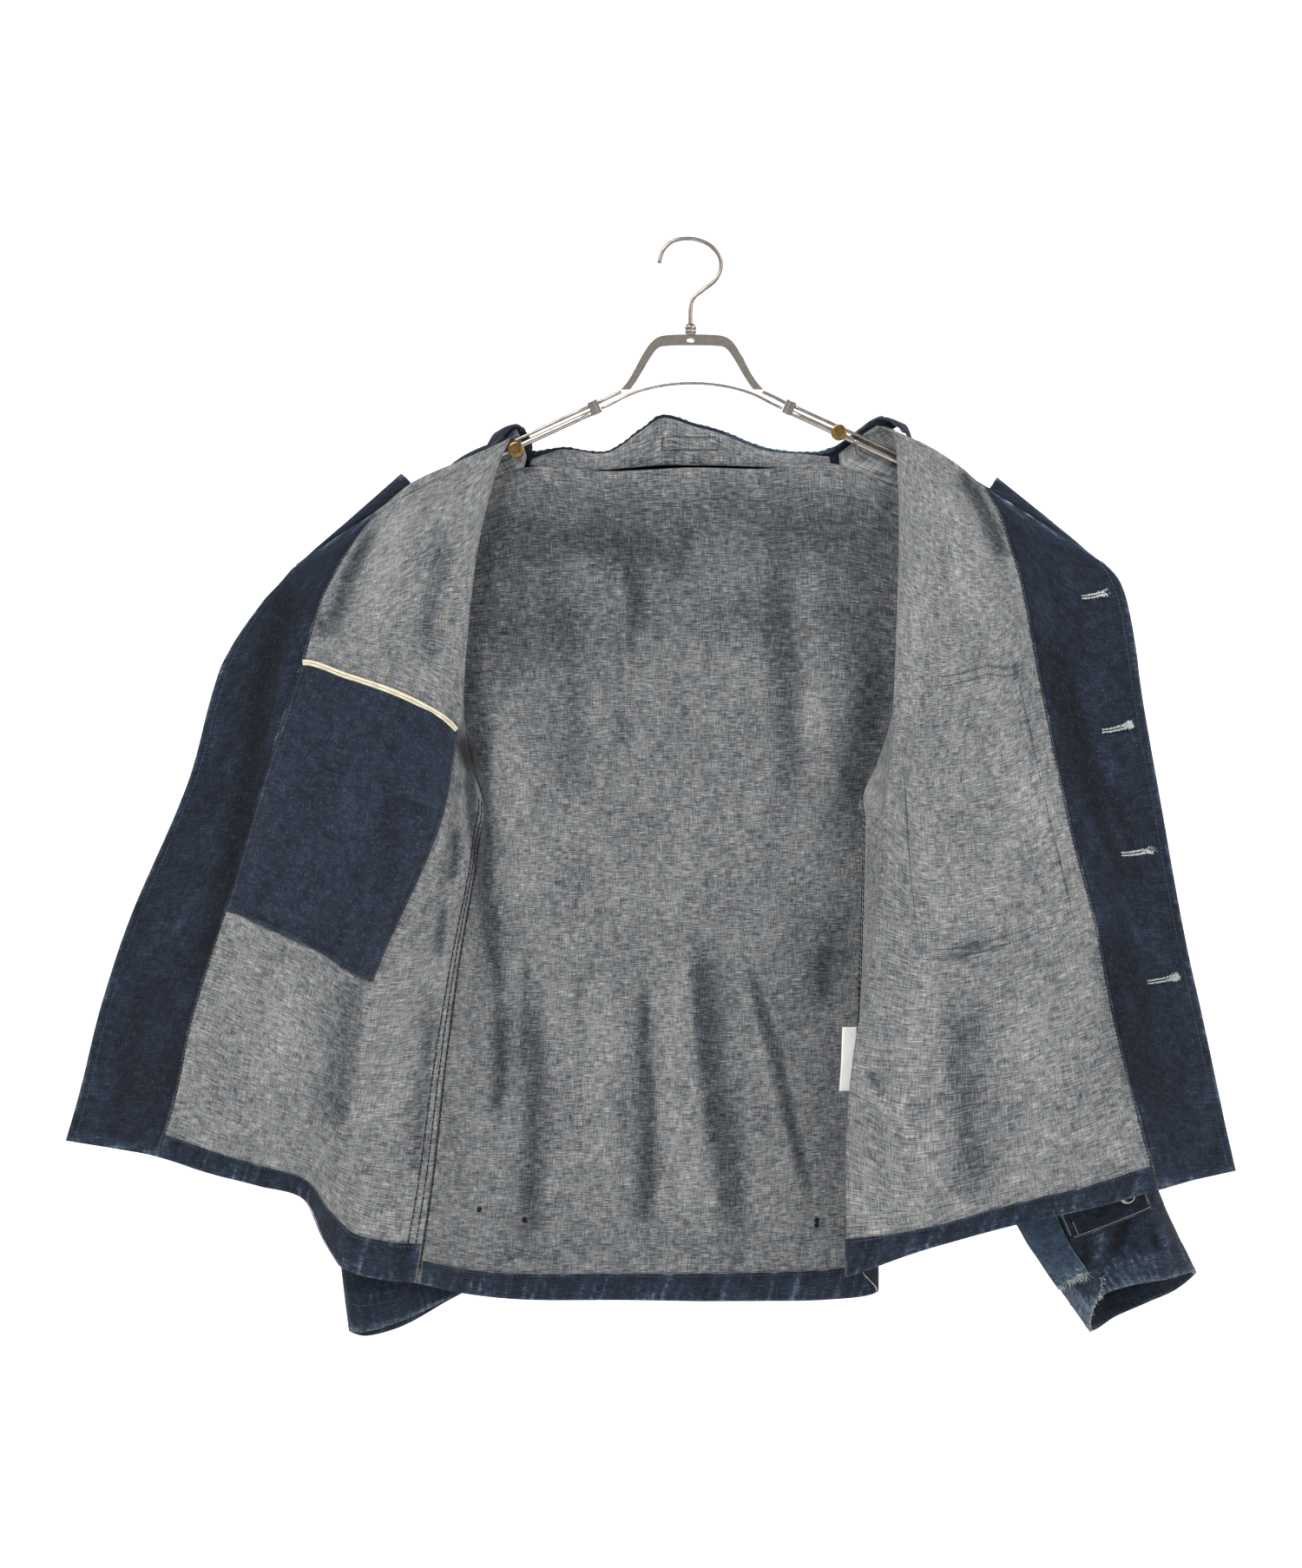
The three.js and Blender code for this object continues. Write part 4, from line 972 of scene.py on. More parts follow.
# Each fold: its path in pixels, height in millimetres, and width in pixels left and right of it.
RIGHT_FRONT_FOLDS = [
    ([(443, 590), (420, 628), (402, 662), (383, 712), (376, 740)], -3.0, 11, 7),
    ([(470, 560), (446, 620), (432, 680), (420, 740)], 2.0, 18, 22),
    ([(508, 600), (500, 660), (494, 730), (490, 790)], -1.3, 13, 13),
    ([(360, 720), (330, 830), (300, 980), (268, 1120)], 1.6, 26, 22),
    ([(318, 700), (300, 860), (280, 1000), (262, 1080)], -1.8, 12, 16),
    ([(250, 900), (225, 1040), (196, 1180), (176, 1280)], 1.2, 20, 24),
    ([(420, 1100), (400, 1200), (372, 1330)], -1.4, 22, 26),
    ([(340, 1100), (322, 1210), (296, 1320)], 1.5, 24, 20),
    ([(470, 1060), (462, 1150), (440, 1260), (424, 1360)], 1.5, 18, 18),
    ([(376, 740), (364, 706), (348, 700)], -1.6, 8, 8),
    ([(258, 750), (250, 810), (240, 867)], 1.4, 12, 14),
    ([(450, 1050), (430, 1170), (414, 1290), (400, 1400)], 1.2, 9, 9),
    ([(524, 876), (532, 888), (540, 890)], 1.2, 5, 5),
]
RIGHT_RETURN_FOLDS = [
    ([(527, 950), (526, 985), (521, 1020)], -3.0, 5, 6),
    ([(512, 1040), (508, 1075), (503, 1110)], -2.2, 5, 5),
    ([(516, 880), (512, 960), (504, 1030)], 1.6, 6, 6),
    ([(539, 857), (543, 905), (547, 955), (549, 1000)], -2.2, 5, 6),
    ([(520, 884), (530, 890), (543, 894)], 1.4, 4, 4),
    ([(522, 902), (532, 906), (544, 908)], -1.0, 4, 4),
    ([(500, 1120), (490, 1240), (470, 1380)], -1.4, 9, 9),
]
LEFT_FRONT_FOLDS = [
    ([(1100, 535), (1125, 571), (1143, 604), (1163, 655)], -3.0, 6, 10),
    ([(1075, 545), (1095, 600), (1112, 660), (1128, 740)], 1.8, 18, 18),
    ([(1058, 640), (1052, 740), (1050, 840)], 1.2, 14, 18),
    ([(1205, 720), (1232, 800), (1252, 880), (1268, 960)], -2.2, 16, 13),
    ([(1240, 700), (1268, 800), (1290, 900), (1304, 960)], 1.8, 16, 18),
    ([(1180, 860), (1200, 960), (1222, 1060)], 1.3, 18, 18),
    ([(1098, 1112), (1112, 1096), (1136, 1086)], -2.0, 8, 6),
    ([(1105, 1130), (1110, 1240), (1126, 1400)], -1.6, 26, 22),
    ([(1060, 1140), (1052, 1260), (1060, 1420)], 1.5, 20, 22),
    ([(1180, 1120), (1190, 1240), (1214, 1380)], 1.3, 24, 24),
    ([(998, 1232), (1010, 1246), (1024, 1262)], -1.6, 6, 6),
    ([(1270, 1060), (1290, 1180), (1316, 1290)], -1.2, 18, 18),
]
LEFT_RETURN_FOLDS = [
    ([(992, 960), (975, 1020), (958, 1075), (944, 1130), (934, 1170)], -3.2, 6, 8),
    ([(1005, 880), (992, 960), (980, 1010)], 1.6, 9, 9),
    ([(962, 1180), (960, 1280), (958, 1400)], -1.2, 10, 10),
]
BACK_FOLDS = [
    # The sharp pleat: a low valley with a crest close on its left.
    ([(850, 1085), (862, 1112), (872, 1140), (895, 1213), (911, 1286), (928, 1352), (942, 1405)], -3.6, 5,
     14),
    ([(840, 1090), (856, 1136), (878, 1213), (896, 1290), (914, 1360), (930, 1415)], 2.6, 14, 7),
    ([(798, 1060), (806, 1120), (818, 1239), (834, 1330), (842, 1400), (830, 1455)], -2.8, 20, 16),
    ([(770, 1080), (776, 1200), (790, 1320), (796, 1440)], 2.2, 26, 26),
    ([(742, 1120), (745, 1200), (746, 1333), (740, 1440)], -1.8, 16, 16),
    ([(690, 1100), (694, 1240), (696, 1400)], 1.8, 24, 24),
    ([(622, 1130), (616, 1233), (614, 1352), (606, 1450)], -2.0, 14, 14),
    ([(582, 1150), (576, 1243), (570, 1300)], -1.7, 9, 9),
    ([(556, 790), (552, 880), (558, 1000), (568, 1090), (580, 1150)], -2.6, 9, 10),
    ([(590, 820), (598, 960), (612, 1090)], 1.6, 16, 20),
    ([(705, 600), (716, 640), (734, 700), (744, 740)], -1.5, 10, 12),
    ([(716, 640), (722, 760), (716, 880)], -1.0, 12, 12),
    ([(640, 620), (700, 622), (780, 640)], -1.4, 16, 18),
    ([(648, 660), (660, 760), (668, 880), (676, 960)], -1.0, 16, 22),
    ([(890, 620), (900, 720), (910, 840), (912, 960)], -1.3, 18, 18),
    ([(930, 640), (936, 760), (944, 880)], 1.4, 14, 14),
    ([(866, 960), (876, 1040), (890, 1120)], 1.0, 14, 14),
    ([(575, 590), (640, 600), (700, 600)], 1.0, 12, 12),
    ([(632, 1090), (636, 1160), (640, 1260)], 0.9, 5,
     9), ([(742, 1090), (746, 1210), (750, 1330), (744, 1440)], -1.6, 3, 7),
    ([(574, 1100), (576, 1170), (580, 1230), (574, 1290)], -1.5, 3,
     6), ([(806, 1080), (812, 1170), (822, 1260), (832, 1360)], -1.4, 3, 8),
    ([(606, 1090), (608, 1160), (602, 1240)], -1.4, 3, 6), ([(666, 1100), (668, 1200), (672, 1280)], -0.8,
                                                            4, 5),
    ([(958, 1080), (950, 1120), (946, 1160)], -1.8, 6, 10), ([(900, 1440), (930, 1436), (980, 1430)], 0.9,
                                                             4, 6),
    ([(560, 1458), (600, 1444), (640, 1448)], -0.8, 4, 5), ([(798, 600), (786, 640), (778, 680)], -1.2, 6,
                                                            14),
    ([(653, 1037), (655, 1150), (654, 1265)], 0.9, 7, 7),
    ([(715, 1208), (717, 1310), (715, 1407)], -1.0, 6, 7),
    ([(715, 620), (718, 690), (722, 760), (724, 850)], 1.6, 3, 5),
]
SEAMS = {
    "facing_right": [(435, 589), (375, 711), (300, 930), (240, 1130), (183, 1329)],
    "facing_left": [(1131, 559), (1190, 790), (1245, 1010), (1290, 1190), (1332, 1365)],
    "side_right": [(546, 930), (539, 1013), (530, 1083), (519, 1163), (500, 1310), (484, 1445)],
    "side_left": [(985, 900), (965, 980), (955, 1010), (935, 1110), (925, 1160), (925, 1300), (928, 1440)],
}


def fold_sum(pixels, folds, size=1.0):
    return sum(crease(pixels, path, depth * size, left, right) for path, depth, left, right in folds)


def right_front_height(u, v, pixels):
    front = 1 - ease(u, 0.66, 0.70)
    beyond = ease(u, 0.70, 0.76) * (1 - ease(u, 0.95, 0.99)) * ease(v, 0.3, 0.38)
    height = (fold_sum(pixels, RIGHT_FRONT_FOLDS, 1.3) + slack(pixels, 4, 1.5)) * front
    height += pucker(pixels, SEAMS["facing_right"], 0.35, 9, 15) * front
    height += pucker(pixels, [(180, 1296), (300, 1336), (421, 1374)], 0.4, 10, 17) * front
    height += slack(pixels, 41, 0.5, 40, 14) * (front + beyond)
    return height + (fold_sum(pixels, RIGHT_RETURN_FOLDS)
                     + pucker(pixels, SEAMS["side_right"], 0.4, 9, 13)) * beyond


def left_front_height(u, v, pixels):
    front = 1 - ease(u, 0.72, 0.76)
    beyond = ease(u, 0.76, 0.81) * (1 - ease(u, 0.95, 0.99)) * ease(v, 0.3, 0.38)
    height = (fold_sum(pixels, LEFT_FRONT_FOLDS, 1.3) + slack(pixels, 7, 1.5)) * front
    height += pucker(pixels, SEAMS["facing_left"], 0.35, 9, 15) * front
    height += pucker(pixels, [(976, 1450), (1120, 1405), (1336, 1330)], 0.4, 10, 17) * front
    height += slack(pixels, 71, 0.5, 40, 14) * (front + beyond)
    return height + (fold_sum(pixels, LEFT_RETURN_FOLDS)
                     + pucker(pixels, SEAMS["side_left"], 0.4, 9, 13)) * beyond


def back_height(u, v, pixels):
    inside = ease(u, 0.01, 0.08) * (1 - ease(u, 0.92, 0.99)) * ease(v, 0.0, 0.05)
    height = fold_sum(pixels, BACK_FOLDS, 1.3) + slack(pixels, 23, 1.6, 150, 60) + slack(pixels, 24, 0.5,
                                                                                         42, 16)
    height += pucker(pixels, [(484, 1440), (700, 1462), (900, 1466)], 0.35, 12, 16)
    return height * inside


# Gathers under the strap at the wearer's left cuff, and round the corner below its patch.
LEFT_CUFF_FOLDS = [
    ([(1302, 1392), (1290, 1425), (1282, 1452)], -2.4, 5, 9), ([(1318, 1390), (1334, 1420), (1346, 1440)],
                                                               1.8, 5, 7),
    ([(1322, 1398), (1331, 1424), (1336, 1446)], -2.0, 5, 6), ([(1268, 1414), (1266, 1436), (1262, 1458)],
                                                               1.4, 6, 7),
    ([(1248, 1424), (1250, 1440), (1252, 1460)], -1.4, 5, 6), ([(1345, 1380), (1352, 1410), (1366, 1434)],
                                                               -1.2, 7, 7),
    ([(1226, 1470), (1246, 1482), (1262, 1494)], -1.3, 5, 6), ([(1222, 1484), (1240, 1500), (1254, 1524)],
                                                               1.0, 6, 6),
]


def sleeve_height(seed, lean):
    """Rings of drag folds down a hanging sleeve: sines along it that slant round it by `lean`, fading
    towards armhole and cuff, with uneven slack on top."""
    def height(u, v, pixels):
        random = np.random.RandomState(seed)
        total = np.zeros(len(u))
        for _ in range(9):
            waves = random.uniform(3, 9)
            turn = random.choice([-1, 1]) * lean * random.uniform(0.4, 1.4)
            total += np.sin(2 * np.pi * (waves * v + turn * np.sin(2 * np.pi * u + random.uniform(0, 6)))
                            + random.uniform(0, 6)) / waves
        elbow = 0.45 + 0.55 * np.exp(-(((v - 0.5) / 0.2) ** 2))
        fade = ease(v, 0.02, 0.14) * (1 - ease(v, 0.88, 0.97))
        fine = 0.0003 * np.sin(2 * np.pi * (23 * v + 2 * np.sin(2 * np.pi * u))) * np.sin(2 * np.pi * 5 * u)
        gathers = 0
        if seed == 8:
            near = (u < 0.49) * ease(v, 0.84,
                                     0.88) * (1 - 0.7 * ease(v, 0.95, 0.956)) * (1 - ease(v, 0.985, 1.0))
            gathers = -fold_sum(pixels, LEFT_CUFF_FOLDS) * near
        return (total * 0.0021 * elbow + fine) * fade + gathers
    return height


# ---- Panels ---------------------------------------------------------------------------------

right_front = Panel(Net(list(FRONT_RIGHT_LINES.values())), True, right_front_height)
left_front = Panel(Net(list(FRONT_LEFT_LINES.values())), False, left_front_height)
back = Panel(Net(list(BACK_LINES.values())), True, back_height)
right_sleeve = Panel(Net(SLEEVE_RIGHT_RINGS, tube=True), False, sleeve_height(5, 0.5))
left_sleeve = Panel(Net(SLEEVE_LEFT_RINGS, tube=True), True, sleeve_height(8, 0.5))
stand = Panel(Net(COLLAR_STAND), True)
fall = Panel(Net(COLLAR_FALL), True)
HEM = 0.036
BACK_HEM = HEM * 0.93


def near_line(pixels, path, width):
    """1 on a run of pixels, falling to 0 at that width from it."""
    path = np.asarray(path, float)
    value = np.zeros(len(pixels))
    near = ((pixels > path.min(0) - width) & (pixels < path.max(0) + width)).all(1)
    if near.any():
        distance, _, _ = polyline_distance(pixels[near], path)
        value[near] = np.clip(1 - distance / width, 0, 1) ** 1.5
    return value


def in_folds(folds):
    """The folds' painted shade: darker in the valleys, a little paler on the crests."""
    def marks(u, v, pixels):
        height = fold_sum(pixels, folds) * 1000
        return {
            "deep": np.clip(-height / 2.4, 0, 1),
            "worn": np.clip(height / 12, 0, 0.2),
            "stain": np.zeros(len(u)),
        }
    return marks


def edge_wear(low_u, high_u, low_v, high_v, most=0.6):
    """Bleached wear along a piece's edges, in places along u and v."""
    def marks(u, v, pixels):
        reach_u = np.minimum((u - low_u), (high_u - u)) / (high_u - low_u)
        reach_v = np.minimum((v - low_v), (high_v - v)) / (high_v - low_v)
        rub = most * np.clip(1 - np.minimum(reach_u * 18, reach_v * 40), 0, 1)
        uneven = 0.55 + 0.45 * np.sin(u * 61 + v * 173) * np.sin(v * 97 + 1.7)
        return {"deep": np.zeros(len(u)), "worn": rub * uneven, "stain": np.zeros(len(u))}
    return marks


def both(*makers):
    """The marks of several makers added up."""
    def marks(u, v, pixels):
        found = [make(u, v, pixels) for make in makers]
        return {key: np.clip(sum(each[key] for each in found), 0, 1) for key in found[0]}
    return marks


def keep(piece, slot, node=None, flat=None, held="hung", area=None, rests_on=()):
    """Lets a piece ride with the jacket and stand for its node, hiding the node's own part; its slot and
    its cut are not used.
    """
    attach(piece, "root")
    if node:
        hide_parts(node)
    return piece


ON_HANGER = ("arm_tube_right", "arm_tube_left")


def armhole_painted_shadow(u, v, pixels):
    """Painted shadow in the hollow at the foot of the armhole, and painted shade in the trough that runs
    down from it and at the front's corner.
    """
    slant = pixels - (537, 866)
    slant = np.stack([slant[:, 0] * 0.93 - slant[:, 1] * 0.36, slant[:, 0] * 0.36 + slant[:, 1] * 0.93], 1)
    hollow = np.exp(-((np.linalg.norm(slant / (9, 22), axis=1)) ** 2))
    trough = near_line(pixels, [(539, 870), (544, 930), (549, 1000)], 9)
    corner = near_line(pixels, [(520, 884), (517, 960), (505, 1040)], 12)
    return {"deep": np.clip(hollow + trough + 0.4 * corner, 0, 1), "worn": 0 * u,
            "stain": np.clip(1.3 * hollow, 0, 0.93)}


us = even_steps(right_front.net, "u", 0, 1, GRID)
vs = even_steps(right_front.net, "v", 0.0, 1, GRID)
keep(wall("right_front_cloth", right_front, us, vs, [WRONG_SIDE, FACE_SIDE],
          marks=both(in_folds(RIGHT_FRONT_FOLDS + RIGHT_RETURN_FOLDS), armhole_painted_shadow)),
     "grey_cloth", "front_right", (0.388, 0.738), area=0.161, rests_on=["arm_tube_right"])
us = even_steps(left_front.net, "u", 0, 1, GRID)
vs = even_steps(left_front.net, "v", 0.0, 1, GRID)
keep(wall("left_front_cloth", left_front, us, vs, [WRONG_SIDE, FACE_SIDE],
          marks=in_folds(LEFT_FRONT_FOLDS + LEFT_RETURN_FOLDS)),
     "grey_cloth", "front_left", (0.423, 0.761), area=0.177, rests_on=["arm_tube_left"])


# Painted shade on the back: the middle of each place in pixels, its reach across and down, and how dark.
BACK_SHADE = [
    ((600, 640), (60, 60), 0.5), ((660, 610), (120, 40), 0.45), ((580, 730), (40, 70), 0.6), ((650, 720),
                                                            (60, 40), 0.4),
    ((800, 590), (160, 40), 0.35), ((760, 680), (60, 60), 0.3), ((930, 610), (90, 50), 0.5), ((990, 680),
                                                            (50, 80), 0.6),
    ((880, 720), (90, 40), 0.4), ((1010, 820), (26, 80), 0.7), ((985, 900), (24, 90), 0.7), ((900, 1110),
                                                            (46, 120), 0.25),
    ((552, 900), (14, 90), 0.5), ((566, 1060), (14, 90), 0.35), ((960, 1090), (26, 80), 0.5), ((540, 790),
                                                            (14, 60), 0.5),
    ((700, 1440), (240, 26), 0.2), ((960, 1300), (24, 120), 0.3),
]


def back_marks(u, v, pixels):
    found = in_folds(BACK_FOLDS)(u, v, pixels)
    spot = np.exp(-((np.linalg.norm((pixels - (606, 1416)) / (17, 17), axis=1)) ** 2))
    spot += 0.7 * np.exp(-((np.linalg.norm((pixels - (622, 1408)) / (12, 8), axis=1)) ** 2))
    found["stain"] = np.clip(0.36 * spot, 0, 1)
    # Painted shade at the listed places, and the whole back a little darker.
    dark = sum(most * np.exp(-((np.linalg.norm((pixels - middle) / reach, axis=1)) ** 2))
               for middle, reach, most in BACK_SHADE)
    found["deep"] = np.clip(found["deep"] + dark + 0.13, 0, 1)
    # The armhole's painted shadow joins the real stain.
    found["stain"] = np.clip(found["stain"] + armhole_painted_shadow(u, v, pixels)["stain"], 0, 1)
    return found


us = even_steps(back.net, "u", 0, 1, GRID)
vs = even_steps(back.net, "v", 0.0, 1, GRID)
keep(wall("back_cloth", back, us, vs, [WRONG_SIDE, FACE_SIDE], marks=back_marks),
     "grey_cloth", "back", (0.538, 0.707), area=0.290, rests_on=ON_HANGER)

# Facings, cut in one with nothing else and laid over the fronts' wrong side.
RIGHT_FACING, LEFT_FACING = right_front.net.u_places[2], left_front.net.u_places[2]


def facing_swell(u, v, pixels):
    """Its own looseness over the front, never less than nothing."""
    flat = pixels.reshape(-1, 2)
    return np.abs(slack(flat, 31, 0.7, 70, 25)).reshape(u.shape)


# The cut of each facing: width and length of the rectangle round it, how it is held, and its area.
FACING_CUT = {"right": ((0.084, 0.562), "hung", 0.0335), "left": ((0.117, 0.594), "hung", 0.0405)}
# Painted shade down each facing beside its folds.
FACING_SHADE = {
    "right": [([(330, 690), (311, 753), (300, 820), (288, 886), (276, 945), (264, 1000), (248, 1080)], 24,
               0.9),
              ([(248, 1080), (226, 1160), (206, 1250)], 26, 0.5), ([(430, 600), (400, 640), (372, 690)], 10,
                                                                   0.5),
              ([(170, 1130), (150, 1230), (130, 1300)], 18, 0.3)],
    "left": [([(1214, 790), (1236, 860), (1262, 930), (1290, 1004)], 12, 0.8),
             ([(1270, 905), (1300, 960), (1312, 1010)], 10, 0.6),
             ([(1158, 600), (1176, 680), (1200, 760)], 14,
              0.4), ([(1290, 1060), (1310, 1140), (1330, 1230)], 12, 0.4)],
}


def facing_shade(name):
    """Painted shade in runs down a facing, each a path in pixels, its width and how dark it is."""
    def marks(u, v, pixels):
        deep = sum(most * near_line(pixels, path, width) for path, width, most in FACING_SHADE[name])
        return {"deep": deep, "worn": 0 * u, "stain": 0 * u}
    return marks


for name, panel, edge in (("right", right_front, RIGHT_FACING), ("left", left_front, LEFT_FACING)):
    us = even_steps(panel.net, "u", 0.0, edge, GRID)
    vs = even_steps(panel.net, "v", 0.0, 1, GRID)
    folds = RIGHT_FRONT_FOLDS if name == "right" else LEFT_FRONT_FOLDS
    keep(wall(f"{name}_facing", panel, us, vs, [FACE_SIDE, WRONG_SIDE], lift=ABOVE, swell=facing_swell,
              marks=both(edge_wear(0, edge, 0, 1, 0.9), in_folds(folds), facing_shade(name))),
         "indigo_cloth", f"facing_{name}", *FACING_CUT[name])


def roped(pitch, height, low, high):
    """Twist of a turned-up hem: slanting ridges along it, gone at its edges."""
    def swell(u, v, pixels):
        t = (v - low) / (high - low)
        along_hem = pixels[..., 0] + pixels[..., 1] * 0.35
        ridge = np.sin(2 * np.pi * (along_hem / pitch + 0.35 * t)) + 0.5 * np.sin(2 * np.pi
                                                            * along_hem / (pitch * 2.3) + 1)
        return height * (0.5 + 0.5 * ridge) * np.sin(np.pi * np.clip(t, 0, 1))
    return swell


HEM_CUT = {"front_right": (0.259, 0.023), "front_left": (0.293, 0.0225), "back": (0.4255, 0.023)}


def hem_wear(low_u, low_v):
    """Edge wear, with uneven pale ribs across the band."""
    def marks(u, v, pixels):
        found = edge_wear(low_u, 0.994, low_v, 1, 0.6)(u, v, pixels)
        place = pixels[:, 0] + pixels[:, 1] * 0.3
        ribs = (0.5 + 0.5 * np.sin(place * 0.42 + 2.2 * np.sin(place * 0.10) + np.sin(place * 0.031)
                                   * 3)) ** 4
        t = (v - low_v) / (1 - low_v)
        found["worn"] = np.clip(found["worn"] + 0.14 + 0.8 * ribs
                                * (0.25 + 0.75 * np.sin(place * 0.043) ** 2) * (0.4 + 0.6 * t), 0, 0.9)
        found["deep"] = 0.7 * (0.5 + 0.5 * np.sin(place * 0.21 + 2)) * (1 - t) ** 2
        return found
    return marks


for name, panel, low, share in (
    ("front_right", right_front, RIGHT_FACING + 0.003, HEM),
    ("front_left", left_front, LEFT_FACING + 0.003, HEM),
    ("back", back, 0.006, BACK_HEM),
):
    us = even_steps(panel.net, "u", low, 0.994, 0.0024)
    vs = even_steps(panel.net, "v", 1 - share, 1, 0.0024)
    keep(wall(f"{name}_hem", panel, us, vs, [FACE_SIDE, WRONG_SIDE], lift=ABOVE,
              swell=roped(13, 0.0008, 1 - share, 1), marks=hem_wear(low, 1 - share)),
         "indigo_cloth", f"hem_{name}", HEM_CUT[name])

# The inner pocket hangs from its selvedge edge.
POCKET_U = (RIGHT_FACING + 0.003, right_front.net.u_places[6] - 0.012)
POCKET_V = (right_front.net.v_places[4], right_front.net.v_places[6])
POCKET_FOLDS = [
    ([(448, 902), (474, 914), (504, 930)], 1.5, 4, 5),
    ([(446, 912), (472, 924), (500, 940)], -1.2, 4, 5),
    ([(470, 992), (492, 1000), (512, 1004)], 1.3, 4, 5),
    ([(404, 832), (420, 838), (440, 832)], 1.0, 5, 4),
    ([(452, 1040), (456, 1062), (450, 1085)], -1.0, 5, 5),
    ([(330, 860), (318, 930), (300, 1010)], 1.0, 14, 14),
    ([(405, 860), (398, 950), (384, 1050)], 1.2, 16, 14),
    ([(440, 880), (450, 960), (440, 1060)], -0.8, 10, 10),
]


def pocket_swell(u, v, pixels):
    flat = pixels.reshape(-1, 2)
    loose = 0.0006 + np.abs(slack(flat, 52, 0.6, 60, 22)) + fold_sum(flat, POCKET_FOLDS, 1.6)
    s = (u.ravel() - POCKET_U[0]) / (POCKET_U[1] - POCKET_U[0])
    t = (v.ravel() - POCKET_V[0]) / (POCKET_V[1] - POCKET_V[0])
    held = np.clip(np.minimum(np.minimum(s, 1 - s) * 14, (1 - t) * 14), 0, 1)
    mouth = 0.0016 * np.exp(-((t / 0.10) ** 2)) * np.sin(np.pi * np.clip(s, 0, 1))
    return (np.maximum(loose, 0.0) * held + mouth).reshape(u.shape)


us = even_steps(right_front.net, "u", *POCKET_U, 0.0026)
vs = even_steps(right_front.net, "v", *POCKET_V, 0.0026)
keep(wall("inner_pocket_cloth", right_front, us, vs, [POCKET_SIDE, WRONG_SIDE], lift=ABOVE + 0.0004,
          swell=pocket_swell, marks=both(edge_wear(*POCKET_U, *POCKET_V, 0.5), in_folds(POCKET_FOLDS))),
     "indigo_cloth", "inner_pocket", (0.1485, 0.2255), area=0.0313)


def selvedge_strip():
    """The pocket's selvedge: a band 4.3 mm high that follows the mouth, thickest at its middle."""
    u = np.linspace(POCKET_U[0] - 0.001, POCKET_U[1] + 0.001, 110)
    v = np.full(110, POCKET_V[0])
    p, out = right_front.place(u, v)
    flat_swell = pocket_swell(u, v, on_picture(p))
    tangent = np.gradient(p, axis=0)
    tangent /= np.linalg.norm(tangent, axis=1)[:, None]
    down = np.cross(tangent, out)
    down *= np.sign(-down[:, 2:3])
    along_mouth = strip_uv(p)
    t = np.array([0.0, 0.12, 0.35, 0.5, 0.65, 0.88, 1.0])
    bulge = np.array([0.0, 0.35, 0.6, 0.5, 0.6, 0.35, 0.0])
    # the band stands in front of the pocket's edge and turns round it a little at both sides
    lift = ABOVE + 0.0004 + CLOTH / 2 + 0.0001 + flat_swell
    near = (p[:, None] + out[:, None] * (lift[:, None] + 0.0009 * bulge)[..., None]
            + down[:, None] * ((t - 0.3) * 0.0046)[None, :, None])
    far = near - out[:, None] * (0.0004 + 0.0006 * bulge)[None, :, None]
    rows, columns = near.shape[:2]
    points = np.concatenate([near.reshape(-1, 3), far.reshape(-1, 3)])
    uv = np.stack(np.broadcast_arrays(along_mouth[:, None], (t * 0.0046 - 0.0002)[None, :]), -1).reshape(-1,
                                                                                                         2)
    count = rows * columns
    j, i = np.meshgrid(np.arange(rows - 1), np.arange(columns - 1), indexing="ij")
    a = (j * columns + i).ravel()
    front = np.stack([a, a + 1, a + columns + 1, a + columns], 1)
    rear = front[:, ::-1] + count
    j = np.arange(rows - 1) * columns
    i = np.arange(columns - 1)
    last = (rows - 1) * columns
    edges = np.concatenate([
        np.stack([j, j + columns, count + j + columns, count + j], 1),
        np.stack([count + j + columns - 1, count + j + 2 * columns - 1, j + 2 * columns - 1,
                  j + columns - 1], 1),
        np.stack([i + 1, i, count + i, count + i + 1], 1),
        np.stack([last + i, last + i + 1, count + last + i + 1, count + last + i], 1),
    ])
    return put("pocket_selvedge", points, np.concatenate([front, rear, edges]), [SELVEDGE],
               uv=np.tile(uv, (2, 1)))


keep(selvedge_strip(), "label_cloth")

# The patch pocket on the outside of the wearer's left front.
OUTER_POCKET = np.array([[0.33, 0.315], [0.74, 0.31], [0.655, 0.617], [0.325, 0.617]])


def patch_corner(corners):
    """Places between four corners: straight along the top and the foot, then straight between them."""
    a, b, c, d = corners

    def corner(s, t):
        s, t = s[..., None], t[..., None]
        both_ways = (a * (1 - s) + b * s) * (1 - t) + (d * (1 - s) + c * s) * t
        return both_ways[..., 0], both_ways[..., 1]
    return corner


keep(wall("outer_pocket_cloth", left_front, np.linspace(0, 1, 46), np.linspace(0, 1, 52),
          [WRONG_SIDE, FACE_SIDE],
          lift=-ABOVE - 0.0005, corner=patch_corner(OUTER_POCKET),
          marks=edge_wear(0.3, 0.74, 0.325, 0.63, 0.4)),
     "indigo_cloth", "outer_pocket", (0.126, 0.222), area=0.0241)

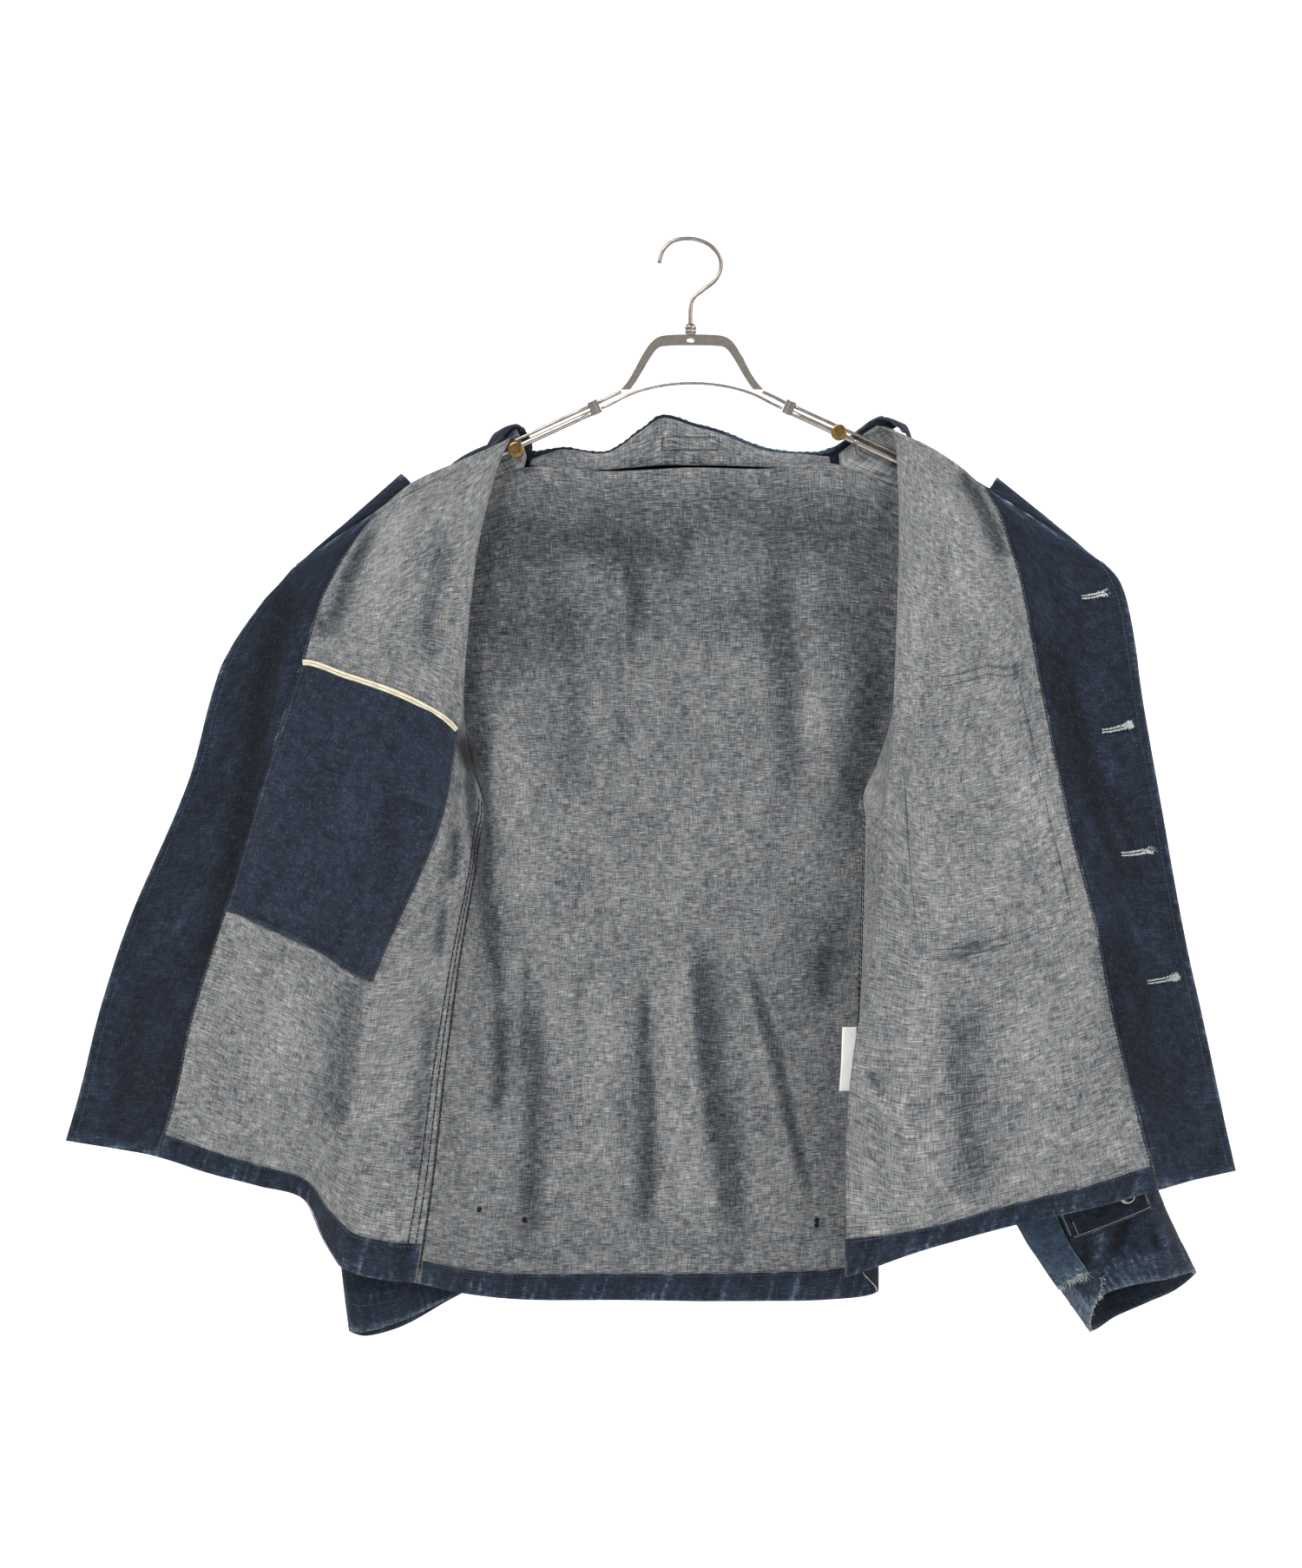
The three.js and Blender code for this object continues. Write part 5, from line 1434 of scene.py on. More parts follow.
# Sleeves, each a tube whose face side is outside, with a turned band at the cuff.
SLEEVE_CUT = {"right": ((0.477, 0.692), "hung", 0.184), "left": ((0.513, 0.647), "hung", 0.178)}
CUFF_CUT = {"right": (0.2745, 0.0197), "left": (0.262, 0.0196)}
for name, panel, seed in (("right", right_sleeve, 3), ("left", left_sleeve, 6)):
    us = even_steps(panel.net, "u", 0, 1, 0.0027 if name == "left" else 0.0042)[:-1]
    vs = np.concatenate([even_steps(panel.net, "v", 0, 0.84, 0.0046),
                         even_steps(panel.net, "v", 0.84, 1, 0.0022)[1:]])

    def sleeve_marks(u, v, pixels, seed=seed, name=name):
        random = np.random.RandomState(seed)
        worn = np.zeros(len(u))
        for _ in range(16):
            centre, width, start = random.uniform(0, 1), random.uniform(0.004, 0.012), random.uniform(0.25,
                                                                                                      0.8)
            swing = 0.03 * np.sin(2 * np.pi * (u * random.randint(1, 3) + random.uniform(0, 1)))
            band = np.exp(-(((v - start - swing) / width) ** 2))
            around = np.cos(2 * np.pi * (u - centre)) * 0.5 + 0.5
            worn += 0.3 * band * around**3
        elbow = 0.4 * np.exp(-(((v - 0.52) / 0.13) ** 2)) * (0.5 + 0.5
                                                             * np.cos(2 * np.pi * (u - 0.68))) ** 2
        hem = 0.6 * ease(v, 0.985, 1.0)
        band = ease(v, 0.95, 0.956) * (0.5 + 0.5 * np.sin(u * 190 + 3 * np.sin(u * 40))) ** 5
        rows = np.exp(-(((v - 0.953) / 0.0022) ** 2))
        worn += 0.5 * band * (0.4 + 0.6 * np.sin(u * 23 + 1) ** 2) + 0.38 * rows * (0.5 + 0.5
                                                                                    * np.sin(u * 310))
        if name == "left":
            corner = np.exp(-(((u - 0.44) / 0.075) ** 2)) * ease(v, 0.925, 0.955)
            rubbed = np.abs(np.sin(u * 150 - v * 210) * np.sin(v * 240 + u * 90)) ** 1.5
            worn += corner * (0.3 + 0.9 * rubbed)
            worn += 0.3 * np.exp(-(((u - 0.22) / 0.1) ** 2)) * ease(v, 0.87,
                                                            0.9) * np.abs(np.sin(u * 120 + v * 60)) ** 3
        deep = np.zeros(len(u))
        # Painted shade in the gathers under the strap, and paler cloth on their crests.
        if name == "left":
            gathers = fold_sum(pixels, LEFT_CUFF_FOLDS) * 1000 * (u < 0.49) * ease(v, 0.84, 0.88)
            deep += np.clip(-gathers / 2.2, 0, 1)
            worn += np.clip(gathers / 4, 0, 0.5) + 0.16 * (u < 0.5) * ease(v, 0.86, 0.9)
        return {"deep": deep, "worn": np.clip(worn + elbow + hem, 0, 0.9), "stain": np.zeros(len(u))}

    keep(wall(f"{name}_sleeve_cloth", panel, us, vs, [WRONG_SIDE, FACE_SIDE], marks=sleeve_marks),
         "indigo_cloth", f"sleeve_{name}", *SLEEVE_CUT[name])
    us = even_steps(panel.net, "u", 0, 1, 0.0032)[:-1]
    vs = even_steps(panel.net, "v", 0.965, 1, 0.0032)
    keep(wall(f"{name}_cuff_band", panel, us, vs, [FACE_SIDE, WRONG_SIDE], lift=ABOVE + 0.0003,
              swell=roped(14, 0.0004, 0.965, 1), marks=edge_wear(-5, 6, 0.965, 1, 0.6)),
         "indigo_cloth", f"cuff_{name}", CUFF_CUT[name])

# Collar.
us = even_steps(stand.net, "u", 0, 1, GRID)
vs = np.linspace(0.03, 1, 8)
# The stand's painted shade darkens it towards its lower edge.
keep(wall("collar_stand_cloth", stand, us, vs, [FACE_SIDE, WRONG_SIDE],
          marks=lambda u, v, pixels: {"deep": 0.5 * (1 - v), "worn": 0 * u, "stain": 0 * u}),
     "grey_cloth", "collar_stand", (0.252, 0.047), held="folded", area=0.00554)
us = even_steps(fall.net, "u", 0, 1, 0.003)
vs = np.linspace(0, 1, 26)


def fall_swell(u, v, pixels):
    flat = pixels.reshape(-1, 2)
    roll = 0.0007 * np.sin(np.pi * np.clip(v.ravel() / 0.16, 0, 1))
    twist = 0.0005 * np.sin(flat[:, 0] * 0.42 + flat[:, 1] * 0.3) * (1 - ease(v.ravel(), 0.05, 0.2))
    return (roll + twist + slack(flat, 61, 0.5, 40, 15)).reshape(u.shape)


def fall_marks(u, v, pixels):
    fold_line = np.exp(-((v / 0.06) ** 2))
    tips = np.clip(1 - np.minimum(u, 1 - u) * 30, 0, 1)
    free = ease(v, 0.93, 1.0)
    uneven = 0.5 + 0.5 * np.sin(u * 83 + 0.6) * np.sin(u * 37 + 2.0)
    # lit is a painted highlight where the roll catches the light; the fold line is paler with wear and
    # painted highlight.
    lit = ease(u, 0.60, 0.66) * (1 - ease(u, 0.86, 0.9)) * fold_line
    return {"deep": 0 * u, "worn": np.clip((0.35 * fold_line + 0.5 * tips + 0.4 * free) * uneven + 0.5
                                           * lit, 0, 0.9),
            "stain": 0 * u}


keep(wall("collar_fall_cloth", fall, us, vs, [FACE_SIDE, FACE_SIDE], thick=0.0018, swell=fall_swell,
          marks=fall_marks),
     "indigo_cloth", "collar_fall", (0.708, 0.115), held="folded", area=0.0256)


def collar_roll(name, low, high, finish, seed):
    """The roped roll along the collar's fold between two columns of the picture: a bar whose radius
    swells and thins along it, laid before the fold."""
    random = np.random.RandomState(seed)
    u = np.linspace(0, 1, 900)
    p, _ = fall.place(u, np.full(900, 0.01))
    seen_at = on_picture(p)
    path = p[(seen_at[:, 0] > low) & (seen_at[:, 0] < high)] + np.array([0.0, -0.0014, -0.0012])
    reach = strip_uv(path)
    radius = 0.0019 + 0.0003 * np.sin(reach * 2 * np.pi / 0.0063) + 0.0002 * np.sin(reach * 2
                                                            * np.pi / 0.021 + random.uniform(0, 6))
    keep(round_bar(name, path, radius, finish, sides=14), "indigo_cloth")


collar_roll("collar_roll_right", 601, 834, FACE_SIDE, 3)
# The left part of the roll is lit: a painted highlight, drawn in the paler faded denim.
collar_roll("collar_roll_left", 835, 961, FADED_AND_HIGHLIGHT_SIDE, 4)

# The care label, left blank, caught in the side seam.
CARE_LABEL = [
    [[125, -652, 5], [124, -679, 5], [122, -705, 5]],
    [[131, -652, 7], [129, -679, 7], [128, -705, 7]],
    [[136.8, -652, 9], [136.3, -679, 9], [134.9, -705, 9]],
]
label = Panel(Net(CARE_LABEL), True)


def curl(u, v, pixels):
    return 0.0009 * np.sin(np.pi * v) * np.sin(2.2 * u + 0.4) - 0.0006 * np.sin(5.2 * v)


keep(wall("care_label_tape", label, np.linspace(0, 1, 14), np.linspace(0, 1, 46), [LABEL], thick=0.0005,
          swell=curl),
     "label_cloth", "care_label", (0.0132, 0.0532))

# Mends at the wearer's left cuff, on the outside of the sleeve.
OUTSIDE = -ABOVE - 0.0004
STRAP = np.array([[0.078, 0.82], [0.327, 0.82], [0.327, 0.879], [0.078, 0.879]])
CUFF_PATCH = np.array([[0.335, 0.782], [0.47, 0.782], [0.47, 0.947], [0.335, 0.947]])
keep(wall("cuff_strap_cloth", left_sleeve, np.linspace(0, 1, 44), np.linspace(0, 1, 14),
          [WRONG_SIDE, FACE_SIDE],
          lift=OUTSIDE - 0.0003, corner=patch_corner(STRAP), marks=edge_wear(0.078, 0.327, 0.82, 0.879,
                                                                             0.9)),
     "indigo_cloth", "cuff_strap", (0.073, 0.032))


def patch_marks(u, v, pixels):
    found = edge_wear(0.335, 0.47, 0.782, 0.947, 0.7)(u, v, pixels)
    streaks = np.abs(np.sin(u * 140 + v * 190) * np.sin(v * 260 + u * 60 + 1.1)) ** 3
    found["worn"] = np.clip(found["worn"] + (0.25 + 0.75 * streaks) * ease(v, 0.91, 0.95), 0, 1)
    return found


keep(wall("cuff_patch_cloth", left_sleeve, np.linspace(0, 1, 36), np.linspace(0, 1, 54),
          [WRONG_SIDE, FADED_AND_HIGHLIGHT_SIDE],
          lift=OUTSIDE, corner=patch_corner(CUFF_PATCH), marks=patch_marks),
     "worn_cloth", "cuff_patch", (0.0414, 0.0994), area=0.00312)


# ---- Stitches -------------------------------------------------------------------------------

SPINDLE_POINTS = 20


def stitch_row(places, outs, length, space, radius):
    """Points and faces of a row of stitches along a run of places: each is a small spindle of four
    rings with five sides, from `length` long, `space` apart, arched a little over the cloth."""
    reach = strip_uv(places)
    starts = np.arange(space / 2, reach[-1] - length, length + space)
    if not len(starts):
        return np.zeros((0, 3)), np.zeros((0, 4), int)
    share = np.array([0.0, 0.2, 0.8, 1.0])
    width = np.array([0.35, 1.0, 1.0, 0.35]) * radius
    arch = np.array([-0.5, 0.45, 0.45, -0.5]) * radius
    at = starts[:, None] + share * length
    centre = np.stack([np.interp(at, reach, places[:, k]) for k in range(3)], -1)
    out = np.stack([np.interp(at, reach, outs[:, k]) for k in range(3)], -1)
    out /= np.linalg.norm(out, axis=-1)[..., None]
    centre += out * arch[None, :, None]
    forward = centre[:, -1] - centre[:, 0]
    forward /= np.linalg.norm(forward, axis=1)[:, None]
    side = np.cross(forward[:, None], out)
    side /= np.linalg.norm(side, axis=-1)[..., None]
    turn = np.linspace(0, 2 * np.pi, 5, endpoint=False)
    ring = np.cos(turn)[:, None] * side[:, :, None] + np.sin(turn)[:, None] * out[:, :, None]
    points = centre[:, :, None] + ring * width[None, :, None, None]
    count = len(starts)
    j, i = np.meshgrid(np.arange(3), np.arange(5), indexing="ij")
    a, b = (j * 5 + i).ravel(), (j * 5 + (i + 1) % 5).ravel()
    one = np.stack([a + 5, b + 5, b, a], 1)
    faces = (one[None] + (np.arange(count) * SPINDLE_POINTS)[:, None, None]).reshape(-1, 4)
    return points.reshape(-1, 3), faces


def cap_faces(count):
    """Both ends of each spindle, five points each."""
    first = np.arange(count)[:, None] * SPINDLE_POINTS + np.array([0, 1, 2, 3, 4])
    last = np.arange(count)[:, None] * SPINDLE_POINTS + np.array([19, 18, 17, 16, 15])
    return np.concatenate([first, last])


class Tuft:
    """Short threads gathered into one piece, each one spindle along a run of three points."""

    def __init__(self):
        self.points, self.faces = [], []

    def add(self, run, out, share, radius):
        q, f = stitch_row(run, np.stack([out] * 3), strip_uv(run)[-1] * share, 0.00001, radius)
        if len(q) >= SPINDLE_POINTS:
            base = len(self.points) * SPINDLE_POINTS
            self.points.append(q[:SPINDLE_POINTS])
            self.faces += (f[:15] + base).tolist() + (cap_faces(1) + base).tolist()

    def piece(self, name, finish):
        return put(name, np.concatenate(self.points), self.faces, [finish])


def sew(name, rows, finish, length=0.0026, space=0.0008, radius=0.00028, slot="indigo_cloth"):
    """One piece of many stitch rows. Each row is (panel, [places u, v], lift)."""
    points, faces, base = [], [], 0
    for panel, path, lift in rows:
        path = np.asarray(path, float)
        t = np.linspace(0, 1, max(40, 40 * len(path)))
        places = np.linspace(0, 1, len(path))
        u, v = np.interp(t, places, path[:, 0]), np.interp(t, places, path[:, 1])
        p, out = panel.place(u, v)
        p = p + out * np.asarray(lift if not callable(lift) else lift(u, v, on_picture(p)))[..., None]
        sign = 1 if np.mean(np.asarray(lift if not callable(lift) else 1)) >= 0 else -1
        q, f = stitch_row(p, out * sign, length, space, radius)
        points.append(q)
        caps = cap_faces(len(q) // SPINDLE_POINTS) + base
        faces += (f + base).tolist() + caps.tolist()
        base += len(q)
    piece = put(name, np.concatenate(points), faces, [finish])
    return keep(piece, slot)


def down(u, low, high, count=24):
    """Places down a panel at one u."""
    v = np.linspace(low, high, count)
    return np.stack([np.full(count, u), v], 1)


def across(v, low, high, count=24):
    """Places across a panel at one v."""
    u = np.linspace(low, high, count)
    return np.stack([u, np.full(count, v)], 1)


ON_CLOTH = CLOTH / 2 + 0.0001


def over_facing(u, v, pixels):
    """How far out a thread lies on a facing."""
    return ABOVE + ON_CLOTH + facing_swell(u, v, pixels)


rows_fine, rows_navy = [], []
for panel, edge in ((right_front, RIGHT_FACING), (left_front, LEFT_FACING)):
    rows_fine.append((panel, down(0.022, 0.01, 0.99), over_facing))
    rows_navy.append((panel, down(edge - 0.006, 0.012, 0.985), over_facing))
    rows_navy.append((panel, down(edge + 0.0022, 0.012, 0.985), ON_CLOTH))
    rows_fine.append((panel, across(1 - HEM + 0.003, edge + 0.005, 0.985), ABOVE + CLOTH / 2 + 0.0002))
    rows_fine.append((panel, across(0.014, 0.01, 0.99 * panel.net.u_places[6]), ON_CLOTH + 0.0002))
rows_fine.append((back, across(1 - BACK_HEM + 0.003, 0.012, 0.985), ABOVE + CLOTH / 2 + 0.0002))
sew("topstitching", rows_fine, DULL_YARN)

side_rows = [(panel, down(1 - inset, 0.36, 0.985), ON_CLOTH) for panel in (right_front,
                                                            left_front) for inset in (0.055, 0.024)]
side_rows += [(back, down(u, 0.36, 0.985), ON_CLOTH) for u in (0.003, 0.997)]
sew("side_seam_stitching", side_rows, BLACK_YARN, length=0.0052, space=0.0001, radius=0.0005)
for v in (0.012, 0.022):
    rows_navy.append((back, across(v, 0.02, 0.10), ON_CLOTH))
    rows_navy.append((back, across(v, 0.90, 0.98), ON_CLOTH))
rows_seen = []
# The outer pocket's stitching shows through on the wrong side: its mouth's double row with a bar
# tack at the end, and a single row round its sides and slanting foot.
rows_seen.append((left_front, [[0.735, 0.30], [0.60, 0.294], [0.418, 0.290], [0.33, 0.312]], ON_CLOTH))
rows_seen.append((left_front, [[0.735, 0.312], [0.60, 0.306], [0.418, 0.302], [0.335, 0.323]], ON_CLOTH))
for k in range(4):
    rows_seen.append((left_front, [[0.328 + 0.004 * k, 0.306], [0.330 + 0.004 * k, 0.330]], ON_CLOTH))
rows_seen.append((left_front, [[0.736, 0.33], [0.697, 0.45], [0.684, 0.517], [0.665, 0.60], [0.655, 0.622],
                               [0.56, 0.621], [0.44, 0.619], [0.32, 0.617], [0.317, 0.521], [0.322,
                                                            0.42], [0.33, 0.335]], ON_CLOTH))
rows_seen.append((left_front, [[0.66, 0.610], [0.56, 0.610], [0.44, 0.608], [0.33, 0.606]], ON_CLOTH))
# thread marks left where an older mend was taken out
rows_seen.append((left_front, [[0.70, 0.345], [0.60, 0.350], [0.50, 0.352]], ON_CLOTH))
sew("outer_pocket_stitching", rows_seen, DULL_YARN, length=0.0022, space=0.0006, radius=0.0004)
sew("seam_stitching", rows_navy, NAVY_YARN, space=0.0005, radius=0.0005)

# The pocket's sides and foot are sewn in navy thread.
low_u, high_u = POCKET_U
pocket_loop = np.concatenate([
    np.linspace((low_u + 0.012, POCKET_V[0] + 0.01), (low_u + 0.012, POCKET_V[1] - 0.008), 14),
    np.linspace((low_u + 0.012, POCKET_V[1] - 0.008), (high_u - 0.012, POCKET_V[1] - 0.008), 14),
    np.linspace((high_u - 0.012, POCKET_V[1] - 0.008), (high_u - 0.012, POCKET_V[0] + 0.01), 14),
])


def over_pocket(u, v, pixels):
    """How far out a thread lies on the inner pocket."""
    return ABOVE + 0.0004 + CLOTH / 2 + 0.0001 + pocket_swell(u, v, pixels)


sew("pocket_stitching", [(right_front, pocket_loop, over_pocket)], NAVY_YARN)

ON_MEND = OUTSIDE - CLOTH / 2 - 0.0001
strap_place, patch_place = patch_corner(STRAP), patch_corner(CUFF_PATCH)


def straight(place, s0, t0, s1, t1, count=24):
    """Places on a four-cornered piece, evenly along a straight line between two of its own places."""
    return np.stack(place(np.linspace(s0, s1, count), np.linspace(t0, t1, count)), 1)


strap_rows = [(left_sleeve, straight(strap_place, *ends), ON_MEND - 0.0004) for ends in (
    (0.02, 0.93, 0.98, 0.93), (0.03, 0.08, 0.03, 0.92), (0.975, 0.08, 0.975, 0.92), (0.9, 0.5, 0.9, 0.92))]
sew("cuff_strap_stitching", strap_rows, PALE_YARN, length=0.0021, space=0.0003, radius=0.0003)
patch_rows = [(left_sleeve, straight(patch_place, *ends), ON_MEND) for ends in (
    (0.05, 0.03, 0.05, 0.97), (0.95, 0.03, 0.95, 0.97), (0.05, 0.97, 0.95, 0.97))]
sew("cuff_patch_stitching", patch_rows, DULL_YARN)
cuff_rows = []
for panel in (right_sleeve, left_sleeve):
    cuff_rows.append((panel, across(0.966, 0.0, 0.999, 60), -CLOTH / 2 - 0.0002))
    cuff_rows.append((panel, across(0.994, 0.0, 0.999, 60), -CLOTH / 2 - 0.0002))
sew("cuff_stitching", cuff_rows, DULL_YARN)


# ---- Buttonholes and buttons ----------------------------------------------------------------

BUTTONHOLES = [((1246, 688), (1278, 682)), ((1270, 842), (1304, 834)), ((1292, 984), (1329, 978)),
               ((1322, 1131), (1357, 1124))]


def front_place(panel, pixel, most_u=0.7):
    """The place [u, v] on a panel's front part that is seen at a pixel: the nearest of a fine grid,
    then of a finer one round it."""
    low, high = np.array([0.0, 0.0]), np.array([most_u, 1.0])
    for _ in range(4):
        u, v = np.meshgrid(np.linspace(low[0], high[0], 41), np.linspace(low[1], high[1], 41))
        u, v = u.ravel(), v.ravel()
        best = np.linalg.norm(on_picture(panel.place(u, v)[0]) - pixel, axis=1).argmin()
        reach = (high - low) / 20
        low = np.clip([u[best], v[best]] - reach, 0, 1)
        high = np.clip([u[best], v[best]] + reach, 0, 1)
    return u[best], v[best]


def buttonholes():
    """Worn keyhole buttonholes. Threads lie side by side across both lips of a slit that follows the
    facing, and turn round an eye at the outer end, where most are frayed, pale and standing up."""
    random = np.random.RandomState(17)
    ring = Tuft()
    slit_points, slit_faces = [], []
    for inner, outer in BUTTONHOLES:
        a, b = np.array(front_place(left_front, inner)), np.array(front_place(left_front, outer))
        t = np.linspace(0, 1, 60)
        u, v = a[0] + (b[0] - a[0]) * t, a[1] + (b[1] - a[1]) * t
        line, out = left_front.place(u, v)
        line = line + out * (over_facing(u, v, on_picture(line)) + 0.0002)[:, None]
        forward = np.gradient(line, axis=0)
        forward /= np.linalg.norm(forward, axis=1)[:, None]
        side = np.cross(out, forward)
        eye = 0.0016
        threads = []
        for k in range(0, 54):
            for lip in (-1, 1):
                threads.append((line[k] + side[k] * 0.0004 * lip, side[k] * lip, k, 1.0))
        for turn in np.linspace(-2.2, 2.2, 34):
            spoke = forward[52] * np.cos(turn) + side[52] * np.sin(turn)
            threads.append((line[53] + spoke * eye * 0.6, spoke, 52, 1.35))
        for _ in range(46):
            k = random.randint(38, 58)
            turn = random.uniform(0, 2 * np.pi)
            spoke = forward[k] * np.cos(turn) + side[k] * np.sin(turn)
            threads.append((line[k] + spoke * random.uniform(0, 0.0012), spoke, k, 1.2))
        for place, spoke, k, size in threads:
            reach = random.uniform(0.0013, 0.0023) * size * (0.75 + 0.5 * k / 60)
            tip = spoke + forward[k] * random.normal(0, 0.3)
            end = place + tip * reach + out[k] * random.uniform(-0.0001, 0.0006)
            run = np.stack([place, (place + end) / 2 + out[k] * 0.0004, end])
            ring.add(run, out[k], 0.95, 0.00024)
        # the open slit, a dark lens between the lips that follows them
        half = 0.0005 + 0.0006 * np.exp(-(((t - 0.9) / 0.08) ** 2))
        half[[0, -1]] = 0.0001
        start = len(slit_points)
        for sign in (-1, 1):
            for height in (0.00035, 0.0):
                slit_points += list(line + side * (half * sign)[:, None] + out * height)
        n = len(t)
        for k in range(n - 1):
            for p, q in ((0, 2), (3, 1), (1, 0), (2, 3)):
                slit_faces.append([start + p * n + k, start + p * n + k + 1, start + q * n + k + 1,
                                   start + q * n + k])
        slit_faces += [[start + r * n for r in (0, 2, 3, 1)], [start + r * n + n - 1 for r in (1, 3, 2, 0)]]
    keep(ring.piece("buttonhole_threads", BLEACHED_YARN), "indigo_cloth")
    keep(put("buttonhole_slits", slit_points, slit_faces, [NAVY_YARN], smooth=False), "indigo_cloth")


buttonholes()

BUTTON_PLACES = [(0.07, 0.075), (0.07, 0.3), (0.07, 0.475), (0.07, 0.645)]
BUTTON_PROFILE = np.array([
    (0.0022, 0.0), (0.0060, 0.0), (0.0076, 0.0005), (0.0084, 0.0012), (0.0085, 0.0018), (0.0081, 0.0026),
    (0.0074, 0.0030), (0.0066, 0.0029), (0.0058, 0.0024), (0.0040, 0.0022), (0.0020, 0.0021), (0.0004,
                                                                                               0.0021),
])
for number, (u, v) in enumerate(BUTTON_PLACES, 1):
    p, out = right_front.place(np.array([u]), np.array([v]))
    piece = turned_form(f"button_{number}_horn", BUTTON_PROFILE, p[0] - out[0] * (CLOTH / 2 + GAP), -out[0],
                        BUTTON)
    keep(piece, "button", f"button_{number}")


RIM_PROFILE = np.array([
    (0.0046, 0.0), (0.0062, 0.0), (0.0070, 0.0008), (0.0072, 0.0016), (0.0068, 0.0023), (0.0060, 0.0025),
    (0.0052, 0.0020), (0.0046, 0.0012),
])


def strap_button():
    """The button that holds the strap: a metal rim round a dark disc, half hidden by the front's hem."""
    u, v = front_place(left_sleeve, (1297, 1376), 0.3)
    p, out = left_sleeve.place(np.array([u]), np.array([v]))
    at = p[0] + out[0] * (OUTSIDE - CLOTH / 2 - 0.0009)
    rim = turned_form("strap_button_rim", RIM_PROFILE, at, -out[0], BRIGHT_STEEL)
    disc = turned_form("strap_button_disc",
                       np.array([(0.0002, 0.0), (0.0045, 0.0), (0.0045, 0.0009), (0.0030, 0.0014),
                                                      (0.0002, 0.0016)]), at, -out[0], BUTTON)
    keep(rim, "button")
    keep(disc, "button")


strap_button()


# ---- Frays ----------------------------------------------------------------------------------

def fray(name, panel, path, lift, finish, count, reach, seed, spread=0.5, toward=None):
    """Loose ends of thread along a worn edge: thin bent hairs from random places on it."""
    random = np.random.RandomState(seed)
    path = np.asarray(path, float)
    t = np.sort(random.uniform(0, 1, count))
    places = np.linspace(0, 1, len(path))
    u, v = np.interp(t, places, path[:, 0]), np.interp(t, places, path[:, 1])
    p, out = panel.place(u, v)
    p = p + out * lift
    hairs = Tuft()
    away = np.array(toward if toward is not None else (0.0, 0.0, -1.0))
    for k in range(count):
        side = away + random.normal(0, spread, 3)
        side /= np.linalg.norm(side)
        long = random.uniform(0.3, 1.0) * reach
        bend = np.cross(side, out[k]) * random.uniform(-0.4, 0.4) * long
        run = np.stack([p[k], p[k] + side * long * 0.5 + bend * 0.6 + out[k] * long * 0.1,
                        p[k] + side * long + bend])
        hairs.add(run, out[k], 0.94, 0.00016)
    return keep(hairs.piece(name, finish), "worn_cloth")


def knots():
    """Knots of dark thread at the back's three small dark spots, crossing at all angles."""
    random = np.random.RandomState(29)
    threads = Tuft()
    for pixel, size in (((554, 1394), 0.0019), ((605, 1404), 0.0021), ((940, 1412), 0.0017),
                        ((940, 1405), 0.0019)):
        u, v = np.meshgrid(np.linspace(0.02, 0.98, 121), np.linspace(0.8, 0.98, 61))
        u, v = u.ravel(), v.ravel()
        p, out = back.place(u, v)
        k = np.linalg.norm(on_picture(p) - pixel, axis=1).argmin()
        middle = p[k] + out[k] * 0.0009
        for _ in range(60):
            turn = random.uniform(0, np.pi)
            way = np.array([np.cos(turn), 0, np.sin(turn)]) * size * random.uniform(0.7, 1.15)
            shift = np.array([random.uniform(-1, 1), 0, random.uniform(-1, 1)]) * size * 0.5
            run = np.stack([middle + shift - way, middle + shift * 0.6 + out[k] * 0.0003,
                            middle + shift + way])
            threads.add(run, out[k], 0.95, 0.0003)
    keep(threads.piece("back_dark_knots", BLACK_YARN), "grey_cloth")


def row_between(panel, pixels, most_u, lift):
    """A stitch row between places given in pixels."""
    return panel, [front_place(panel, pixel, most_u) for pixel in pixels], lift


knots()

# The back of a label sewn on the stand's other side shows as a stitched rectangle, and two short
# stitches lie on the right facing.
stand_rows = [row_between(stand, run, 1.0, -ON_CLOTH) for run in (
    [(763, 505), (796, 504), (828, 504)], [(828, 504), (828, 519)], [(828, 519), (796, 519), (763, 520)],
    [(763, 520), (763, 505)])]
stand_rows.append(row_between(right_front, [(350, 690), (353, 694)], 0.7, over_facing))
stand_rows.append(row_between(right_front, [(216, 1112), (221, 1117)], 0.7, over_facing))
sew("neck_stitching", stand_rows, NAVY_YARN, length=0.0022, space=0.0005, radius=0.00042)
OUT_OF_MEND = OUTSIDE - CLOTH / 2
fray("cuff_corner_fray", left_sleeve, [[0.345, 0.949], [0.40, 0.947], [0.47, 0.945]], OUT_OF_MEND + 0.0006,
     BLEACHED_YARN, 90, 0.008, 5, 0.6, (0.3, -0.1, -0.8))
fray("cuff_edge_fray", left_sleeve, [[0.30, 0.965], [0.33, 0.985], [0.36, 0.998], [0.44, 0.999],
                                     [0.52,
                                      0.999]], -CLOTH / 2 - 0.0001, BLEACHED_YARN, 110, 0.005, 9, 0.8, (0.2,
                                                            -0.3, -0.3))


# ---- The hanger -----------------------------------------------------------------------------

HOOK_PATH = [[-27, -18], [-24, -8], [-15, 0], [0, 1.8], [14, -3], [23, -13], [24, -23], [19, -33], [9, -41],
             [1, -48],
             [-1, -57], [-1, -69.5]]


def flat(points):
    """Places in the hanger's plane, from millimetres across and up."""
    return np.array([[x, 0.0, z] for x, z in points]) / 1000


def metal_piece(piece, node, slot="steel"):
    """A piece of the hanger that stands for its node."""
    return keep(piece, slot, node)


metal_piece(round_bar("hook_wire", smooth_path(flat(HOOK_PATH), 90), 0.0018, STEEL, 16), "hook")
FERRULE = np.array([(0.0012, -77), (0.0041, -77), (0.0045, -76.6), (0.0047, -76), (0.0047, -74.6),
                    (0.0045, -74.2),
                    (0.0045, -73.8), (0.0047, -73.4), (0.0047, -71.2), (0.0045, -70.6), (0.0038,
                                                            -69.2), (0.0022, -69)])
FERRULE[:, 1] /= 1000
metal_piece(turned_form("ferrule_turned", FERRULE, np.array([-0.001, 0, 0]), (0, 0, 1), STEEL, 36),
            "ferrule")

